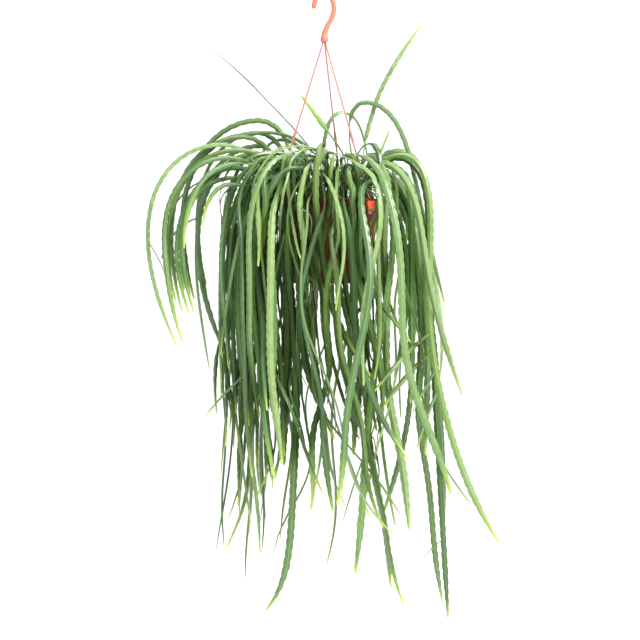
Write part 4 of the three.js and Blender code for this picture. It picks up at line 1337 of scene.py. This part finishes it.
def make_soil(material, draw):
    """The soil's surface with crumbs pressed into it, closed below"""
    edge = wall_radius(SOIL_Z) - SOIL_INSET
    vertices = [(POT_X * MM, 0, SOIL_Z * MM)]
    for ring in range(1, SOIL_RINGS + 1):
        radius = edge * ring / SOIL_RINGS
        fade = min(1, (edge - radius) / SOIL_EASE)
        for cos, sin in turns(SOIL_SIDES):
            x, y = radius * cos, radius * sin
            lump = sum(height * noise.noise(Vector((x, y, layer)) * pace) for height, pace, layer in LUMPS)
            vertices.append(((POT_X + x) * MM, y * MM, (SOIL_Z - SOIL_SUNK + lump * fade) * MM))
    low = SOIL_Z - 40
    vertices += circle(wall_radius(low) - SOIL_INSET, low, SOIL_SIDES, (POT_X, 0))
    vertices += circle(50, RIM_Z - POT_HEIGHT + 4, SOIL_SIDES, (POT_X, 0))
    rows = [[0]] + [range(start, start + SOIL_SIDES) for start in range(1, len(vertices), SOIL_SIDES)]
    faces = [face[:1] + face[:0:-1] for face in skin(rows)]
    pieces = [mesh_object("soil_body", vertices, faces + [tuple(rows[-1][::-1])])]
    for _ in range(CRUMBS):
        radius = (edge - CRUMB_INSET) * math.sqrt(draw())
        angle = 2 * math.pi * draw()
        x, y = POT_X + radius * math.cos(angle), radius * math.sin(angle)
        place = Vector((x * MM, y * MM, (SOIL_Z + CRUMB_RISE) * MM))
        size = CRUMB_SIZE[0] + CRUMB_SIZE[1] * draw() ** 2
        work = bmesh.new()
        bmesh.ops.create_icosphere(work, subdivisions=1, radius=size * MM)
        for vertex in work.verts:
            vertex.co *= 0.75 + 0.5 * draw()
            vertex.co.z *= CRUMB_FLAT
            vertex.co += place
        pieces.append(bpy.data.objects.new("crumb", worked_mesh("crumb", work)))
    finish_piece(join("potting_soil", pieces), material, "soil", "soil")


# Stage

CAMERA_DISTANCE = 2.4
CAMERA_RISE = 2.0
CAMERA_TARGET = Vector((-0.0055, 0, -0.42))
LIT_PLACE = Vector((0, 0, -0.4))
FIELD = 0.832
SENSOR = 36
FLOOR_Z = -1.15
FLOOR_RADIUS = 3.6
FLOOR_BEND = 1.4
WALL_HEIGHT = 6.0
AMBIENT = 0.84
# Place in metres, size and power
LIGHTS = {
    "key": ((1.5, -1.8, 1.3), (1.0, 1.0), 144),
    "fill": ((-2.0, -1.8, -0.2), (1.8, 1.8), 8),
    "top": ((0, 0.2, 2.0), (1.6, 1.6), 38),
    "back": ((0.5, 2.4, 0.9), (2.4, 1.6), 22),
}


def make_camera():
    data = bpy.data.cameras.new("camera")
    data.sensor_width = SENSOR
    data.lens = SENSOR * CAMERA_DISTANCE / FIELD
    camera = show("camera", data)
    rise = math.radians(CAMERA_RISE)
    back = Vector((0, -math.cos(rise), math.sin(rise)))
    camera.location = CAMERA_TARGET + back * CAMERA_DISTANCE
    camera.rotation_euler = back.to_track_quat("Z", "Y").to_euler()
    bpy.context.scene.camera = camera


def make_floor():
    """A pale floor that curves up far behind into a pale wall, on all sides"""
    profile = [(0, 0)]
    for angle in np.radians(range(0, 91, 6)):
        profile.append((FLOOR_RADIUS + FLOOR_BEND * math.sin(angle), FLOOR_BEND * (1 - math.cos(angle))))
    profile.append((FLOOR_RADIUS + FLOOR_BEND, WALL_HEIGHT))
    sweep = lathe("studio_sweep", [(radius / MM, (FLOOR_Z + z) / MM) for radius, z in profile], 96)
    shader = Shader("studio_white", (0.975, 0.975, 0.975, 1))
    shader.set("Roughness", 0.9)
    sweep.data.materials.append(shader.material)


def area_light(name, place, size, power):
    data = bpy.data.lights.new(name, "AREA")
    data.shape = "RECTANGLE"
    data.size, data.size_y = size
    data.energy = power
    light = show(name, data)
    light.location = place
    light.rotation_euler = (Vector(place) - LIT_PLACE).to_track_quat("Z", "Y").to_euler()


def make_lights():
    for name, settings in LIGHTS.items():
        area_light(name, *settings)
    world = bpy.data.worlds.new("studio")
    world.use_nodes = True
    background = world.node_tree.nodes["Background"]
    background.inputs["Color"].default_value = (1, 1, 1, 1)
    background.inputs["Strength"].default_value = AMBIENT
    bpy.context.scene.world = world
    bpy.context.scene.view_settings.view_transform = "Standard"


# The deep, middle and pale tones of each slot's stems
GREENS = {
    "stem_mid": ("2f4e18", "4e702d", "879f64"),
    "stem_deep": ("284416", "446629", "7a915a"),
    "stem_pale": ("3a5722", "5a7b39", "94a974"),
    "stem_dark": ("29451a", "426429", "748c58"),
    "stem_light": ("395821", "5a7c3b", "94a874"),
}


def main():
    make_camera()
    make_floor()
    make_lights()
    clumps, bundle = plant()
    bundle, inner = thicken(bundle)
    # How crowded each point is, for the painted shade on stems deep inside the plant
    bundle.inner = painted_shade_crowding(bundle)
    slots = {sub["node"]: sub["material_slot"] for sub in frame["record"]["subparts"]}
    materials = {slot: stem_material(slot, *tones) for slot, tones in GREENS.items()}
    draw = randoms(SEED + 1)
    for clump in clumps:
        number = f"{clump['index'] + 1:02d}"
        slot = slots["stem_clump_" + number]
        piece = clump_object("stems_" + number, bundle, clump["members"], draw)
        finish_piece(piece, materials[slot], slot, "stem_clump_" + number)
    for name, stems in (("inner_stems_1", inner[::2]), ("inner_stems_2", inner[1::2])):
        finish_piece(clump_object(name, bundle, stems, draw), materials["stem_dark"], "stem_dark")
    make_hook(plastic("hanger_plastic", "b46852", "a85a45", 0.42, 0.1))
    strand = plastic("strand_plastic", "9c6458", "8e5348", 0.45, 0.05)
    stop = stop_material()
    for leg, (head, foot) in enumerate(leg_points()):
        make_leg(leg, head, foot, strand, stop)
    make_pot(pot_material())
    make_soil(soil_material(), draw)


main()
